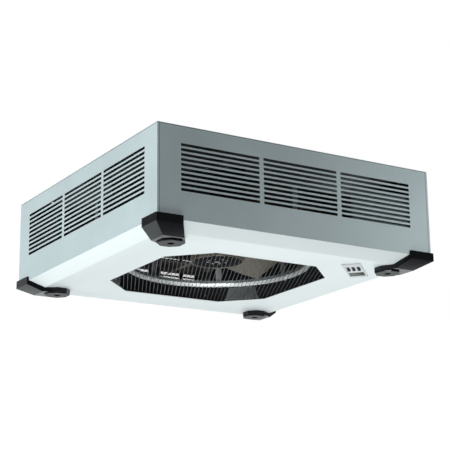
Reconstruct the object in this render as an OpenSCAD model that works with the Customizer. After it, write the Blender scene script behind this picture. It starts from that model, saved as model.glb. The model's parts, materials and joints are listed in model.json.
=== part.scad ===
// Ceiling mounted electric fan heater, millimetres.
// The origin is the centre of the top face, which lies on the ceiling. +Z is up, so the
// heater hangs below the origin. The front wall faces -Y and the left wall faces -X.

/* [Casing] */
// Width and depth of the square casing
casing_w = 600; // [580:5:660]
// Height of the side walls with the top plate
casing_h = 172; // [168:1:190]
// Sheet thickness of the side walls
side_t = 1.0; // [0.8:0.1:1.4]
// Sheet thickness of the top plate
top_t = 1.2; // [1.0:0.1:2.0]
// Width of the strip that the left and right walls wrap round each corner
corner_wrap = 4; // [3:0.5:6]
// Open seam between the wrapped strip and the front or back wall
corner_seam = 0.7; // [0.4:0.1:1.2]
// Width of the inward flange along the top of each wall
wall_flange_w = 14; // [12:1:18]
// Open seam between the top plate's edge and the walls
top_seam = 0.8; // [0.4:0.1:0.8]

/* [Louvres] */
// Length of one slot
slot_l = 162.5; // [120:0.5:166]
// Height of one slot
slot_h = 5.4; // [3:0.1:6]
// Distance from one slot row to the next
slot_pitch = 9.1; // [8:0.1:9.6]
// Rows of slots in each wall
slot_rows = 10; // [4:1:10]
// Slots side by side in each row
slot_columns = 3; // [1:1:3]
// Width of the upright between two slots in a row
slot_upright_w = 9.2; // [6:0.2:12]
// Depth of the first row's middle below the ceiling
first_row_depth = 35.2; // [32:0.2:40]

/* [Bottom panel] */
// How far the flat of the bottom panel hangs below the side walls
panel_drop = 16; // [12:1:24]
// Width of the sloping edge of the bottom panel, seen from below
bevel_w = 28; // [20:1:34]
// Sheet thickness of the bottom panel
panel_t = 1.2; // [1.0:0.1:1.6]
// Height of the rim that reaches up inside the walls
panel_rim_h = 9; // [5:1:10]
// Width of the outlet opening across its flats
opening_w = 367; // [340:1:370]
// Length that each corner of the opening is cut back along the flats
opening_cut = 72; // [60:1:90]

/* [Corner caps] */
// Length of the cap along each wall
cap_l = 50; // [44:1:60]
// Height that the cap reaches up the wall
cap_up = 7; // [5:1:14]
// Thickness of the cap beside the walls
cap_t = 3.6; // [3:0.1:5]
// Depth of the cap below the bottom panel
cap_deep = 8.6; // [6:0.1:10]
// Radius of the eight-sided pad at the screw
cap_pad_r = 26; // [20:0.5:27]
// Height of the pad over the rest of the cap
cap_pad_h = 3; // [2:0.1:5]
// Distance of the cap screws from the casing's walls
cap_screw_in = 60; // [56:1:64]

/* [Outlet guard] */
// Distance from one guard strand to the next, along the front wall
strand_pitch = 8.7; // [8:0.1:14]
// Angle of the strands from the front wall
strand_angle = 63.4; // [50:0.2:70]
// Width of a strand
strand_w = 1.2; // [1:0.1:2.5]
// Thickness of a strand
strand_t = 0.7; // [0.6:0.1:1.2]
// Width of the guard's border beyond the opening
guard_border = 9; // [6:0.5:10]
// Thickness of the guard's border sheet
guard_border_t = 1.0; // [0.8:0.1:1.2]

/* [Fan deck and ring] */
// Height of the fan deck's underside over the bottom of the walls
deck_lift = 15; // [13:0.5:20]
// Sheet thickness of the fan deck
deck_t = 1.5; // [1.0:0.1:2.0]
// Height of the deck's upturned edge
deck_rim_h = 12; // [8:1:16]
// Inner radius of the fan ring
ring_r = 176; // [175:0.5:178]
// Outer radius of the round bead at the ring's lower edge
ring_bead_r = 6.5; // [5:0.5:7]
// Sheet thickness of the fan ring
ring_t = 1.2; // [1.0:0.1:1.5]
// Width of the ring's flange on the deck
ring_flange_w = 17; // [16.5:0.5:20]
// Height of the ring's collar over the deck
ring_collar_h = 5; // [3:0.5:12]

/* [Fan] */
// Running gap between the blade tips and the ring
tip_gap = 4; // [3:0.5:8]
// Number of blades
blade_count = 5; // [4:1:5]
// Turn of the fan at rest
blade_turn = 15; // [0:1:71]
// Thickness of a blade
blade_t = 2.2; // [1.6:0.1:3]
// Slope of a blade
blade_pitch = 22; // [16:1:24]
// Radius that a blade is curved to
blade_camber_r = 260; // [220:10:400]
// Wall of the impeller's hub
hub_t = 3; // [2:0.5:5]

/* [Motor] */
// Outer radius of the motor's rotor can
can_r = 50; // [48:1:54]
// Wall of the rotor can
can_t = 3; // [2:0.5:3]
// Height of the rotor can
can_h = 56; // [54:1:58]
// Radius of the motor shaft
shaft_r = 6; // [5:0.5:8]
// Running clearance of the shaft in its bearings
shaft_fit = 0.05; // [0.02:0.01:0.09]
// Radius of the bearings
bearing_r = 14; // [12:0.5:14]
// Width of a bearing
bearing_w = 8; // [6:1:9]
// Gap between the stator core and the rotor ring
air_gap = 0.8; // [0.5:0.1:1.5]
// Height of the basket's plate over the deck's underside
basket_lift = 67; // [65:1:74]
// Radius of the basket's ring wires
wire_r = 2; // [1.8:0.1:2.5]
// Width of the basket's flat legs
leg_w = 12; // [10:0.5:13]
// Thickness of the basket's legs
leg_t = 2; // [1.6:0.1:2.4]
// Turn of the basket's legs from the front wall
basket_turn = 13.3; // [0:0.1:44]
// Number of the basket's legs
basket_legs = 8; // [6:1:8]

/* [Heating elements] */
// Distance of the elements from the side walls
element_in = 45; // [38:1:50]
// Half length of an element's finned stretch in a casing of the standard width
element_half = 122; // [90:1:130]
// Radius of the element's tube
tube_r = 4.2; // [3.5:0.1:5]
// Radius of the fins
fin_r = 12.5; // [9:0.5:13]
// Thickness of a fin
fin_t = 0.7; // [0.5:0.1:1.2]
// Distance from one fin to the next
fin_pitch = 4.5; // [4:0.1:8]
// Height of the lower leg over the deck's underside
element_lift = 54; // [50:1:64]
// Distance between the two legs of an element
leg_gap = 30; // [28:1:34]
// Sheet thickness of the element brackets
bracket_t = 1.5; // [1:0.1:2]

/* [Terminal box] */
// Distance of the box's sloping wall from the casing's corner
box_wall_at = 133.3; // [130:0.1:138]
// Depth of the box's lid below the ceiling
box_lid_depth = 54; // [50:1:58]
// Sheet thickness of the box
box_t = 1.0; // [0.8:0.1:1.5]
// Radius of the largest cable that the gland takes
cable_r = 5.5; // [4:0.5:6]

/* [Control plate] */
// Distance of the control plate's middle from the casing's corner
control_at = 148.3; // [142:0.1:152]
// Length of the control plate
control_l = 110; // [106:1:116]
// Width of the control plate
control_w = 36; // [36:0.5:40]
// Thickness of the plate below the panel
control_t = 1.6; // [1.2:0.1:2]
// Length of a rocker
rocker_l = 24; // [22:0.5:26]
// Width of a rocker
rocker_w = 5.6; // [5:0.1:6]
// Distance from one rocker to the next
rocker_pitch = 10; // [9.6:0.1:11]
// Tilt of a rocker from its middle to either side
rocker_tilt = 7; // [5:0.5:8]
// Length of the indicator window
window_l = 30; // [20:1:31]
// Width of the indicator window
window_w = 30; // [24:1:31]

/* [Fixings] */
// Distance between the ceiling bolts
ceiling_bolt_gap = 500; // [480:5:510]
// Radius of the ceiling bolt holes
ceiling_hole_r = 4.5; // [3.5:0.5:6]
// Radius of the cap screws' shanks
cap_screw_r = 2.4; // [2:0.1:2.5]
// Radius of the small screws' shanks
small_screw_r = 1.9; // [1.5:0.1:2.1]

/* [Hidden] */
$fn = 64;
fit = 0.3;             // clearance between pieces that are put together
hole_fit = 0.15;       // clearance of a screw in its hole, on the radius
press = 0.02;          // clearance of a pressed fit, on the radius
eps = 0.5;             // overshoot of a cut

half = casing_w / 2;
standard_half = 300;   // half of the standard casing's width
wall_top = -top_t;
wall_bottom = -casing_h;
panel_face = wall_bottom - panel_drop;
panel_inside = panel_face + panel_t;
deck_under = wall_bottom + deck_lift;
deck_top = deck_under + deck_t;
joggle = side_t + 0.2;
deck_half = half - side_t - joggle - fit;
louvre_w = slot_columns * slot_l + (slot_columns - 1) * slot_upright_w;
corner_in = half - cap_screw_in;
cap_seat = 3.6;        // plastic left under the cap screw's head

guard_bottom = panel_inside;
guard_mid = guard_bottom + guard_border_t;
guard_top = guard_mid + 2 * strand_t;
opening_corner_at = (opening_w - opening_cut) / sqrt(2);
guard_bracket_at = opening_corner_at + guard_border - 1;

ring_foot_r = ring_r + 2 * ring_bead_r;
ring_out_r = ring_foot_r + ring_flange_w - ring_t;
ring_top = deck_top + ring_t;
bead_z = deck_top - 1;
leg_at = ring_foot_r + 1.5 + leg_t / 2;
foot_end = ring_out_r - 1;
foot_screw_at = (leg_at + leg_t / 2 + foot_end) / 2;
guard_screw_at = max(guard_bracket_at + 8.5, ring_out_r + 5);   // clear of the ring's flange

basket_z = deck_under + basket_lift;
arm_z = basket_z + basket_plate_t() + leg_t / 2 - 0.3;
can_top = basket_z - 7;
can_bottom = can_top - can_h;
can_in_r = can_r - can_t;
rotor_ring_t = 7;
core_r = can_in_r - rotor_ring_t - air_gap;
tube_out_r = bearing_r + 4;
stator_flange_t = 4;
tube_bottom = can_bottom + can_t + 4;
blade_r = ring_r - tip_gap;
blade_z = (can_top + can_bottom) / 2 - 4;

leg_low = deck_under + element_lift;
leg_high = leg_low + leg_gap;
element_at = half - element_in;
fin_half = round(element_half + half - standard_half);   // a wider casing has longer elements
bracket_places = [-fin_half - 2, 0, fin_half + 2];
bracket_w = 2 * fin_r + 9;

lid_z = -box_lid_depth;
corner_at = half * sqrt(2);
box_at = corner_at - box_wall_at;
box_back = box_at + box_t;
skirt_cut = 22;        // what the lid leaves free at the corner, for the deck's edge screws
capacitor_r = 15;
capacitor_h = 58;
capacitor_at = box_back + 63 + capacitor_r;
contactor_w = 40;
contactor_l = 42;
contactor_h = 44;
contactor_y = 18;

plate_at = corner_at - control_at;
plate_face = panel_face - control_t;
window_at = 29;
rocker_at = -20;
rocker_hole_l = rocker_l + 2;
rocker_hole_w = rocker_w + 2 * fit;
pivot_z = panel_face + 4;
housing_wall = 1.2;
housing_top = panel_inside + 17;

function basket_plate_t() = 3;

// ---------- helpers ----------

// Places a piece that is drawn for the front wall at wall number i, counted anticlockwise.
module at_wall(i) rotate([0, 0, 90 * i]) children();

// Places a piece that is drawn on the line from the middle towards +X at a corner.
// Corner 0 is front right, 1 back right, 2 back left, 3 front left.
module at_corner(i) rotate([0, 0, -45 + 90 * i]) children();

// A box given by its lowest and highest corners.
module block(low, high) translate(low) cube(high - low);

// A pan head screw that points up, with its head's flat at z = 0.
module pan_screw(shank_r, length, head_r, head_h) {
    translate([0, 0, -head_h]) difference() {
        cylinder(r = head_r, h = head_h);
        for (a = [0, 90]) rotate([0, 0, a])
            block([-head_r * 0.6, -head_r * 0.12, -eps], [head_r * 0.6, head_r * 0.12, head_h * 0.5]);
    }
    cylinder(r = shank_r, h = length);
}

// The outline of the outlet, grown outwards by d.
module octagon(d) {
    a = opening_w / 2 + d;
    c = opening_cut + d * (2 - sqrt(2));
    polygon([[a, a - c], [a - c, a], [c - a, a], [-a, a - c],
             [-a, c - a], [c - a, -a], [a - c, -a], [a, c - a]]);
}

// A square block whose width changes from 2 * low_half at z = low to 2 * high_half at z = high.
module frustum(low, low_half, high, high_half) {
    length = 2 * max(low_half, high_half) + 2;
    intersection_for(turn = [0, 90])
        rotate([90, 0, turn]) linear_extrude(length, center = true)
            polygon([[-low_half, low], [low_half, low], [high_half, high], [-high_half, high]]);
}

// ---------- casing ----------

module top_plate() color("#d5dadb") difference() {
    block([-half, -half, -top_t], [half, half, 0]);
    for (x = [-1, 1], y = [-1, 1])
        translate([x * ceiling_bolt_gap / 2, y * ceiling_bolt_gap / 2, -top_t - eps])
            cylinder(r = ceiling_hole_r, h = top_t + 2 * eps);
    at_corner(0) translate([gland_at(), 0, -top_t - eps])
        cylinder(r = grommet_hole_r(), h = top_t + 2 * eps);
    for (i = [0:3]) at_wall(i) casing_screw_places()
        translate([0, 0, -top_t - eps]) cylinder(r = small_screw_r + hole_fit, h = top_t + 2 * eps);
}

// Places of the screws along the front wall's top flange.
module casing_screw_places()
    for (x = [-0.8, -0.28, 0.28, 0.8])
        translate([x * (half - wall_flange_w - 10), -(half - wall_flange_w / 2 - side_t / 2), 0])
            children();

module slots() {
    for (row = [0:slot_rows - 1], column = [0:slot_columns - 1]) {
        x = -louvre_w / 2 + column * (slot_l + slot_upright_w);
        z = -first_row_depth - row * slot_pitch;
        block([x, -half - eps, z - slot_h / 2], [x + slot_l, -half + side_t + eps, z + slot_h / 2]);
    }
}

module top_flange() difference() {
    block([-(half - wall_flange_w - 6), -half + side_t / 2, wall_top - side_t],
          [half - wall_flange_w - 6, -half + wall_flange_w, wall_top]);
    casing_screw_places() translate([0, 0, wall_top - side_t - eps])
        cylinder(r = small_screw_r + hole_fit, h = side_t + 2 * eps);
}

// Front and back wall: flat, with slots and a flange under the top plate.
module plain_wall() difference() {
    union() {
        w = half - corner_wrap - corner_seam;
        block([-w, -half, wall_bottom], [w, -half + side_t, wall_top - top_seam]);
        top_flange();
    }
    slots();
}

// Left and right wall, drawn at the front: it wraps round both corners and steps inwards
// behind the walls beside it.
module wrapped_wall() difference() {
    union() {
        block([-half, -half, wall_bottom], [half, -half + side_t, wall_top - top_seam]);
        for (s = [0, 1]) mirror([s, 0, 0])
            translate([0, 0, wall_bottom]) linear_extrude(wall_top - top_seam - wall_bottom) {
                x = half - side_t;
                y = -half + corner_wrap;
                translate([x, -half]) square([side_t, corner_wrap]);
                translate([x - joggle, y - side_t]) square([joggle + side_t, side_t]);
                translate([x - joggle, y - side_t]) square([side_t, 15]);
            }
        top_flange();
    }
    slots();
    for (s = [-1, 1]) translate([s * (half - side_t - joggle - fit - 1), -(deck_half - 8),
                                 deck_top + deck_rim_h / 2])
        rotate([0, s * 90, 0]) cylinder(r = small_screw_r + press, h = joggle + fit + 1 - 0.1);
}

module side_front() color("#9aa9ad") at_wall(0) plain_wall();
module side_right() color("#9aa9ad") at_wall(1) wrapped_wall();
module side_back() color("#9aa9ad") at_wall(2) plain_wall();
module side_left() color("#9aa9ad") at_wall(3) wrapped_wall();

module casing_screws() color("#8c9194") {
    for (i = [0:3]) at_wall(i) casing_screw_places()
        translate([0, 0, wall_top - side_t])
            pan_screw(small_screw_r, side_t + top_t - 0.1, 3.6, 2.2);
    deck_edge_places() pan_screw(small_screw_r, deck_t + fit + side_t - 0.1, 3.6, 2.2);
}

// ---------- bottom panel ----------

rim_gap = 0.3;
bevel_top = wall_bottom - rim_gap;
bevel_h = bevel_top - panel_face;
bevel_len = sqrt(bevel_w * bevel_w + bevel_h * bevel_h);
bevel_inset = panel_t * bevel_len / bevel_h;
face_inset = (panel_t * bevel_len - panel_t * bevel_w) / bevel_h;

module bottom_panel() color("#e6ecec") difference() {
    union() {
        difference() {
            frustum(panel_face, half - bevel_w, bevel_top, half);
            frustum(panel_inside, half - bevel_w - face_inset,
                    bevel_top + 1, half - bevel_inset + bevel_w / bevel_h);
        }
        difference() {
            outer = half - side_t - joggle - fit;
            rim_low = bevel_top - (half - outer) * bevel_h / bevel_w;
            block([-outer, -outer, rim_low], [outer, outer, bevel_top + panel_rim_h]);
            block([-outer + panel_t, -outer + panel_t, rim_low - 1],
                  [outer - panel_t, outer - panel_t, bevel_top + panel_rim_h + 1]);
        }
    }
    translate([0, 0, panel_face - eps]) linear_extrude(panel_t + 2 * eps) octagon(0);
    for (i = [0:3]) at_corner(i) translate([corner_in * sqrt(2), 0, panel_face - eps])
        cylinder(r = cap_screw_r + hole_fit, h = panel_t + 2 * eps);
    at_corner(0) translate([plate_at, 0, 0])
        block([-control_w / 2 + 2, -control_l / 2 + 3, panel_face - eps],
              [control_w / 2 - 2, control_l / 2 - 3, panel_inside + eps]);
}

// ---------- corner caps ----------

// The cap seen from below, drawn for the front left corner.
module cap_outline(out) {
    pad = corner_in;
    hull() {
        translate([-half - out, -half - out]) square([cap_l + out, 0.1]);
        translate([-half - out, -half - out]) square([0.1, cap_l + out]);
        translate([-pad, -pad]) rotate(22.5) circle(cap_pad_r, $fn = 8);
    }
}

module corner_cap() {
    floor_z = panel_face - cap_deep;
    pad_z = floor_z - cap_pad_h;
    gap = 0.05;
    difference() {
        union() {
            intersection() {
                translate([0, 0, floor_z])
                    linear_extrude(wall_bottom + cap_up - floor_z) cap_outline(cap_t);
                union() {
                    frustum(floor_z, half - bevel_w + cap_t, wall_bottom - cap_deep, half + cap_t);
                    block([-half - cap_t, -half - cap_t, wall_bottom - cap_deep],
                          [half, half, wall_bottom + cap_up]);
                }
            }
            translate([-corner_in, -corner_in, pad_z]) rotate(22.5) {
                cylinder(r1 = cap_pad_r - 1.5, r2 = cap_pad_r, h = 1.5, $fn = 8);
                translate([0, 0, 1.5])
                    cylinder(r = cap_pad_r, h = panel_face - gap - pad_z - 1.5, $fn = 8);
            }
        }
        // the casing itself, with a small clearance
        block([-half - gap, -half - gap, bevel_top - gap], [half, half, 0]);
        frustum(panel_face - gap, half - bevel_w, bevel_top + gap, half + gap);
        // screw hole and its recess
        translate([-corner_in, -corner_in, pad_z - eps]) cylinder(r = cap_screw_r + 0.3, h = 40);
        translate([-corner_in, -corner_in, pad_z - eps])
            cylinder(r = 6.5, h = panel_face - cap_seat - pad_z + eps);
    }
}

module corner_cap_front_left() color("#26282b") corner_cap();
module corner_cap_front_right() color("#26282b") at_wall(1) corner_cap();
module corner_cap_back_right() color("#26282b") at_wall(2) corner_cap();
module corner_cap_back_left() color("#26282b") at_wall(3) corner_cap();

// The same screw holds a cap and the panel from below, and the deck from above.
module standoff_screws() color("#3a3c3f")
    for (i = [0:3]) at_corner(i) translate([corner_in * sqrt(2), 0, 0]) {
        translate([0, 0, panel_face - cap_seat]) pan_screw(cap_screw_r, 12, 5, 3);
        translate([0, 0, deck_top]) mirror([0, 0, 1]) pan_screw(cap_screw_r, 12, 5, 3);
    }

module panel_standoffs() color("#b9bfc2")
    for (i = [0:3]) at_corner(i) translate([corner_in * sqrt(2), 0, panel_inside])
        difference() {
            cylinder(r = 5.8, h = deck_under - panel_inside, $fn = 6);
            translate([0, 0, -eps])
                cylinder(r = cap_screw_r + press, h = deck_under - panel_inside + 2 * eps);
        }

// ---------- outlet guard ----------

module guard_border_area() linear_extrude(guard_border_t) difference() {
    octagon(guard_border);
    octagon(0.8);
}

// One layer of parallel strands, cut to the border's outline.
module strand_layer(angle) {
    reach = opening_w / 2 + guard_border;
    step = strand_pitch * sin(strand_angle);
    count = floor(1.35 * reach / step);
    intersection() {
        linear_extrude(strand_t) octagon(guard_border);
        rotate([0, 0, angle]) for (i = [-count:count])
            block([-1.6 * reach, i * step - strand_w / 2, 0],
                  [1.6 * reach, i * step + strand_w / 2, strand_t]);
    }
}

module outlet_guard() color("#3a3f42") {
    translate([0, 0, guard_bottom]) guard_border_area();
    translate([0, 0, guard_mid]) strand_layer(strand_angle);
    translate([0, 0, guard_mid + strand_t]) strand_layer(180 - strand_angle);
}

// A bracket with a sloping-sided face that holds the guard down and stands up to the deck.
module guard_bracket() {
    low = 74;
    high = 55;
    at = guard_bracket_at;
    flange = guard_screw_at - at + 5.5;
    bend_t = 1.5;
    difference() {
        union() {
            translate([at, 0, 0]) rotate([90, 0, 90]) linear_extrude(bend_t)
                polygon([[-low / 2, guard_top], [low / 2, guard_top],
                         [high / 2, deck_under], [-high / 2, deck_under]]);
            block([at, -high / 2, deck_under - bend_t], [at + flange, high / 2, deck_under]);
            block([opening_corner_at + 1, -low / 2, guard_top],
                  [at + bend_t, low / 2, guard_top + bend_t]);
        }
        guard_screw_places() translate([0, 0, deck_under - 3])
            cylinder(r = small_screw_r + hole_fit, h = 4);
    }
}

module guard_screw_places()
    for (y = [-16, 16]) translate([guard_screw_at, y, 0]) children();

module guard_bracket_front_left() color("#c3ced0") at_corner(3) guard_bracket();
module guard_bracket_front_right() color("#c3ced0") at_corner(0) guard_bracket();
module guard_bracket_back_right() color("#c3ced0") at_corner(1) guard_bracket();
module guard_bracket_back_left() color("#c3ced0") at_corner(2) guard_bracket();

// ---------- fan deck and ring ----------

module fan_deck() color("#232628") difference() {
    union() {
        block([-deck_half, -deck_half, deck_under], [deck_half, deck_half, deck_top]);
        difference() {
            block([-deck_half, -deck_half, deck_under],
                  [deck_half, deck_half, deck_top + deck_rim_h]);
            block([-deck_half + deck_t, -deck_half + deck_t, deck_under - 1],
                  [deck_half - deck_t, deck_half - deck_t, deck_top + deck_rim_h + 1]);
        }
    }
    translate([0, 0, deck_under - eps])
        cylinder(r = ring_foot_r + fit, h = deck_t + 2 * eps, $fn = 128);
    for (i = [0:3]) at_corner(i) translate([corner_in * sqrt(2), 0, deck_under - eps])
        cylinder(r = cap_screw_r + hole_fit, h = deck_t + 2 * eps);
    basket_feet() translate([0, 0, deck_under - eps])
        cylinder(r = small_screw_r + hole_fit, h = deck_t + 2 * eps);
    for (i = [0:3]) at_corner(i) guard_screw_places() translate([0, 0, deck_under - eps])
        cylinder(r = small_screw_r + hole_fit, h = deck_t + 2 * eps);
    for (i = [0:3]) at_wall(i) for (x = bracket_places)
        bracket_screw_place(x) translate([0, 0, -deck_t - eps])
            cylinder(r = small_screw_r + hole_fit, h = deck_t + 2 * eps);
    deck_edge_places() translate([0, 0, -eps])
        cylinder(r = small_screw_r + hole_fit, h = deck_t + 2 * eps);
    at_corner(0) translate([wire_hole_at(), 0, deck_under - eps])
        cylinder(r = 7, h = deck_t + 2 * eps);
}

function wire_hole_at() = box_back + 9;

// Places of the screws through the deck's upturned edge, pointing outwards at the left and
// right walls' inner flanges. z = 0 lies on the edge's inner face.
module deck_edge_places()
    for (i = [0, 2], s = [-1, 1]) at_wall(i)
        translate([s * (deck_half - 8), -deck_half + deck_t, deck_top + deck_rim_h / 2])
            rotate([90, 0, 0]) children();

module ring_profile() {
    middle = ring_r + ring_bead_r;
    translate([middle, bead_z]) difference() {
        circle(ring_bead_r);
        circle(ring_bead_r - ring_t);
        translate([-2 * ring_bead_r, 0]) square([4 * ring_bead_r, 2 * ring_bead_r]);
    }
    translate([ring_r, bead_z]) square([ring_t, deck_top + ring_collar_h - bead_z]);
    translate([ring_foot_r - ring_t, bead_z]) square([ring_t, ring_top - bead_z]);
    translate([ring_foot_r - ring_t, deck_top]) square([ring_flange_w, ring_t]);
}

module fan_ring() color("#cfd6d8") difference() {
    rotate_extrude($fn = 128) ring_profile();
    basket_feet() translate([0, 0, deck_top - eps])
        cylinder(r = small_screw_r + hole_fit, h = ring_t + 2 * eps);
}

// ---------- motor basket ----------

module basket_feet()
    for (i = [0:basket_legs - 1]) rotate([0, 0, basket_turn + i * 360 / basket_legs])
        translate([foot_screw_at, 0, 0]) children();

// A flat leg: it starts on the plate, bends down and ends in a foot turned outwards.
module basket_leg() {
    bend = 16;
    inner = can_r - 8;
    side = -leg_w / 2;
    translate([inner, side, arm_z - leg_t / 2]) cube([leg_at - bend - inner, leg_w, leg_t]);
    translate([leg_at - bend, 0, arm_z - bend]) rotate([90, 0, 0])
        rotate_extrude(angle = 90) translate([bend - leg_t / 2, side]) square([leg_t, leg_w]);
    translate([leg_at - leg_t / 2, side, ring_top]) cube([leg_t, leg_w, arm_z - bend - ring_top]);
    translate([leg_at - leg_t / 2, side, ring_top]) cube([foot_end - leg_at + leg_t / 2, leg_w, leg_t]);
}

module motor_basket() color("#4a4e51") {
    difference() {
        union() {
            translate([0, 0, basket_z]) cylinder(r = can_r + 2, h = basket_plate_t());
            for (i = [0:basket_legs - 1])
                rotate([0, 0, basket_turn + i * 360 / basket_legs]) basket_leg();
            for (share = [0.44, 0.63, 0.81]) translate([0, 0, arm_z + leg_t / 2 + wire_r - 0.6])
                rotate_extrude($fn = 96) translate([share * leg_at, 0]) circle(wire_r, $fn = 32);
        }
        basket_feet() translate([0, 0, ring_top - 1])
            cylinder(r = small_screw_r + hole_fit, h = leg_t + 2);
        translate([0, 0, basket_z - 1]) cylinder(r = 8, h = basket_plate_t() + 2);
        motor_screw_places() translate([0, 0, basket_z - 1])
            cylinder(r = small_screw_r + hole_fit, h = basket_plate_t() + 2);
    }
}

// One kind of screw for all that stands on the deck or hangs from it.
module deck_screw() pan_screw(small_screw_r, 9, 3.8, 2.4);

module deck_screws() color("#9ea4a7") {
    basket_feet() translate([0, 0, deck_under]) deck_screw();
    for (i = [0:3]) at_corner(i) guard_screw_places() translate([0, 0, deck_top])
        mirror([0, 0, 1]) deck_screw();
    for (i = [0:3]) at_wall(i) for (x = bracket_places)
        bracket_screw_place(x) translate([0, 0, bracket_t]) mirror([0, 0, 1]) deck_screw();
}

module motor_screw_places()
    for (a = [0:90:270]) rotate([0, 0, basket_turn + 180 / basket_legs + a])
        translate([can_r - 16, 0, 0]) children();

module motor_screws() color("#9ea4a7")
    motor_screw_places() translate([0, 0, basket_z + basket_plate_t()])
        mirror([0, 0, 1]) pan_screw(small_screw_r, basket_plate_t() + stator_flange_t - 0.5, 3.8, 2.4);

// ---------- motor ----------

module stator_housing() color("#b4babd") difference() {
    union() {
        translate([0, 0, basket_z - stator_flange_t]) cylinder(r = can_r - 4, h = stator_flange_t);
        translate([0, 0, tube_bottom]) cylinder(r = tube_out_r, h = basket_z - tube_bottom);
    }
    translate([0, 0, tube_bottom - eps]) cylinder(r = bearing_r - 3, h = basket_z - tube_bottom + 2);
    translate([0, 0, tube_bottom - eps]) cylinder(r = bearing_r, h = bearing_w + eps);
    translate([0, 0, basket_z - stator_flange_t - bearing_w])
        cylinder(r = bearing_r, h = bearing_w + stator_flange_t + eps);
    motor_screw_places() translate([0, 0, basket_z - stator_flange_t - eps])
        cylinder(r = small_screw_r + press, h = stator_flange_t + 2 * eps);
}

core_top = can_top - 9;
core_bottom = tube_bottom + 9;

module stator_core() color("#6f7578") translate([0, 0, core_bottom]) difference() {
    cylinder(r = core_r, h = core_top - core_bottom);
    translate([0, 0, -eps]) cylinder(r = tube_out_r + press, h = core_top - core_bottom + 2 * eps);
    for (a = [0:30:330]) rotate([0, 0, a]) translate([core_r - 8, 0, -eps])
        cylinder(r = 2.6, h = core_top - core_bottom + 2 * eps);
}

module stator_windings() color("#b0682f")
    for (z = [core_top, core_bottom - 6]) translate([0, 0, z])
        rotate_extrude() translate([tube_out_r + 2, 0]) square([core_r - tube_out_r - 5, 6]);

module bearing() difference() {
    cylinder(r = bearing_r - press, h = bearing_w);
    translate([0, 0, -eps]) cylinder(r = shaft_r + shaft_fit, h = bearing_w + 2 * eps);
    for (z = [-1, bearing_w - 0.6]) translate([0, 0, z]) difference() {
        cylinder(r = bearing_r - 2.2, h = 1.6);
        translate([0, 0, -eps]) cylinder(r = shaft_r + 1.8, h = 1.6 + 2 * eps);
    }
}

module bearing_upper() color("#c9cdd0")
    translate([0, 0, basket_z - stator_flange_t - bearing_w]) bearing();
module bearing_lower() color("#c9cdd0")
    translate([0, 0, tube_bottom]) bearing();

module motor_shaft() color("#d6dadd")
    translate([0, 0, can_bottom]) cylinder(r = shaft_r, h = basket_z - 3 - can_bottom);

module rotor_can() color("#2b2d30") difference() {
    union() {
        translate([0, 0, can_bottom]) cylinder(r = can_r, h = can_h);
    }
    translate([0, 0, can_bottom + can_t]) difference() {
        cylinder(r = can_in_r, h = can_h);
        translate([0, 0, -eps]) cylinder(r = shaft_r + 5, h = 2.5 + eps);
    }
    translate([0, 0, can_bottom - eps]) cylinder(r = shaft_r + press, h = can_t + 4);
}

module rotor_ring() color("#85898c")
    translate([0, 0, core_bottom - 1]) difference() {
        cylinder(r = can_in_r - press, h = core_top - core_bottom + 2);
        translate([0, 0, -eps])
            cylinder(r = can_in_r - rotor_ring_t, h = core_top - core_bottom + 2 + 2 * eps);
    }

// The outline of one blade seen along the shaft: straight at the hub, swept at the tip.
function blade_edge(side, t) = side * (33 + 21 * t) + 10 * t * t;

module blade_outline() {
    root = can_r + 1.5;
    steps = 6;
    polygon(concat(
        [for (i = [0:steps]) let (t = i / steps) [root + (blade_r + 6 - root) * t, blade_edge(-1, t)]],
        [for (i = [steps:-1:0]) let (t = i / steps) [root + (blade_r + 6 - root) * t, blade_edge(1, t)]]
    ));
}

module blade() intersection() {
    translate([0, 0, can_bottom - 10]) linear_extrude(can_h + 40) blade_outline();
    translate([0, 0, can_bottom - 10]) difference() {
        cylinder(r = blade_r, h = can_h + 40, $fn = 128);
        translate([0, 0, -eps]) cylinder(r = can_r + hub_t / 2, h = can_h + 42);
    }
    translate([0, 0, blade_z]) rotate([blade_pitch, 0, 0]) translate([0, 0, -blade_camber_r])
        rotate([0, 90, 0]) difference() {
            cylinder(r = blade_camber_r + blade_t / 2, h = blade_r + 10, $fn = 128);
            translate([0, 0, -eps])
                cylinder(r = blade_camber_r - blade_t / 2, h = blade_r + 12, $fn = 128);
        }
}

module impeller() color("#b9b5a8") {
    difference() {
        union() {
            translate([0, 0, can_bottom]) cylinder(r = can_r + hub_t, h = can_h - 4);
            for (i = [0:blade_count - 1])
                rotate([0, 0, blade_turn + i * 360 / blade_count]) mirror([0, 1, 0]) blade();
        }
        translate([0, 0, can_bottom - 20]) cylinder(r = can_r + press, h = can_h + 60);
    }
}

// ---------- heating elements ----------

// The half section of one straight leg, with its fins, along +Y from -half length.
module leg_profile() {
    translate([0, -fin_half - 6]) square([tube_r, 2 * fin_half + 12]);
    count = floor(fin_half / fin_pitch);
    for (i = [-count:count]) {
        y = i * fin_pitch;
        clear = min([for (place = bracket_places) abs(place - y)]);
        if (clear > bracket_t / 2 + fin_t + 1.2)
            translate([0, y - fin_t / 2]) square([fin_r, fin_t]);
    }
}

module element() {
    for (z = [leg_low, leg_high]) translate([0, -element_at, z]) {
        rotate([0, 90, 0]) rotate_extrude($fn = 48) leg_profile();
        // terminal end: ceramic bead and pin
        translate([fin_half + 5, 0, 0]) rotate([0, 90, 0]) cylinder(r = 5.5, h = 7);
        translate([fin_half + 11, 0, 0]) rotate([0, 90, 0]) cylinder(r = 2, h = 10);
    }
    translate([-fin_half - 6, -element_at, (leg_low + leg_high) / 2]) rotate([90, 0, 0])
        rotate([0, 0, 90]) rotate_extrude(angle = 180) translate([leg_gap / 2, 0]) circle(tube_r);
}

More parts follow.
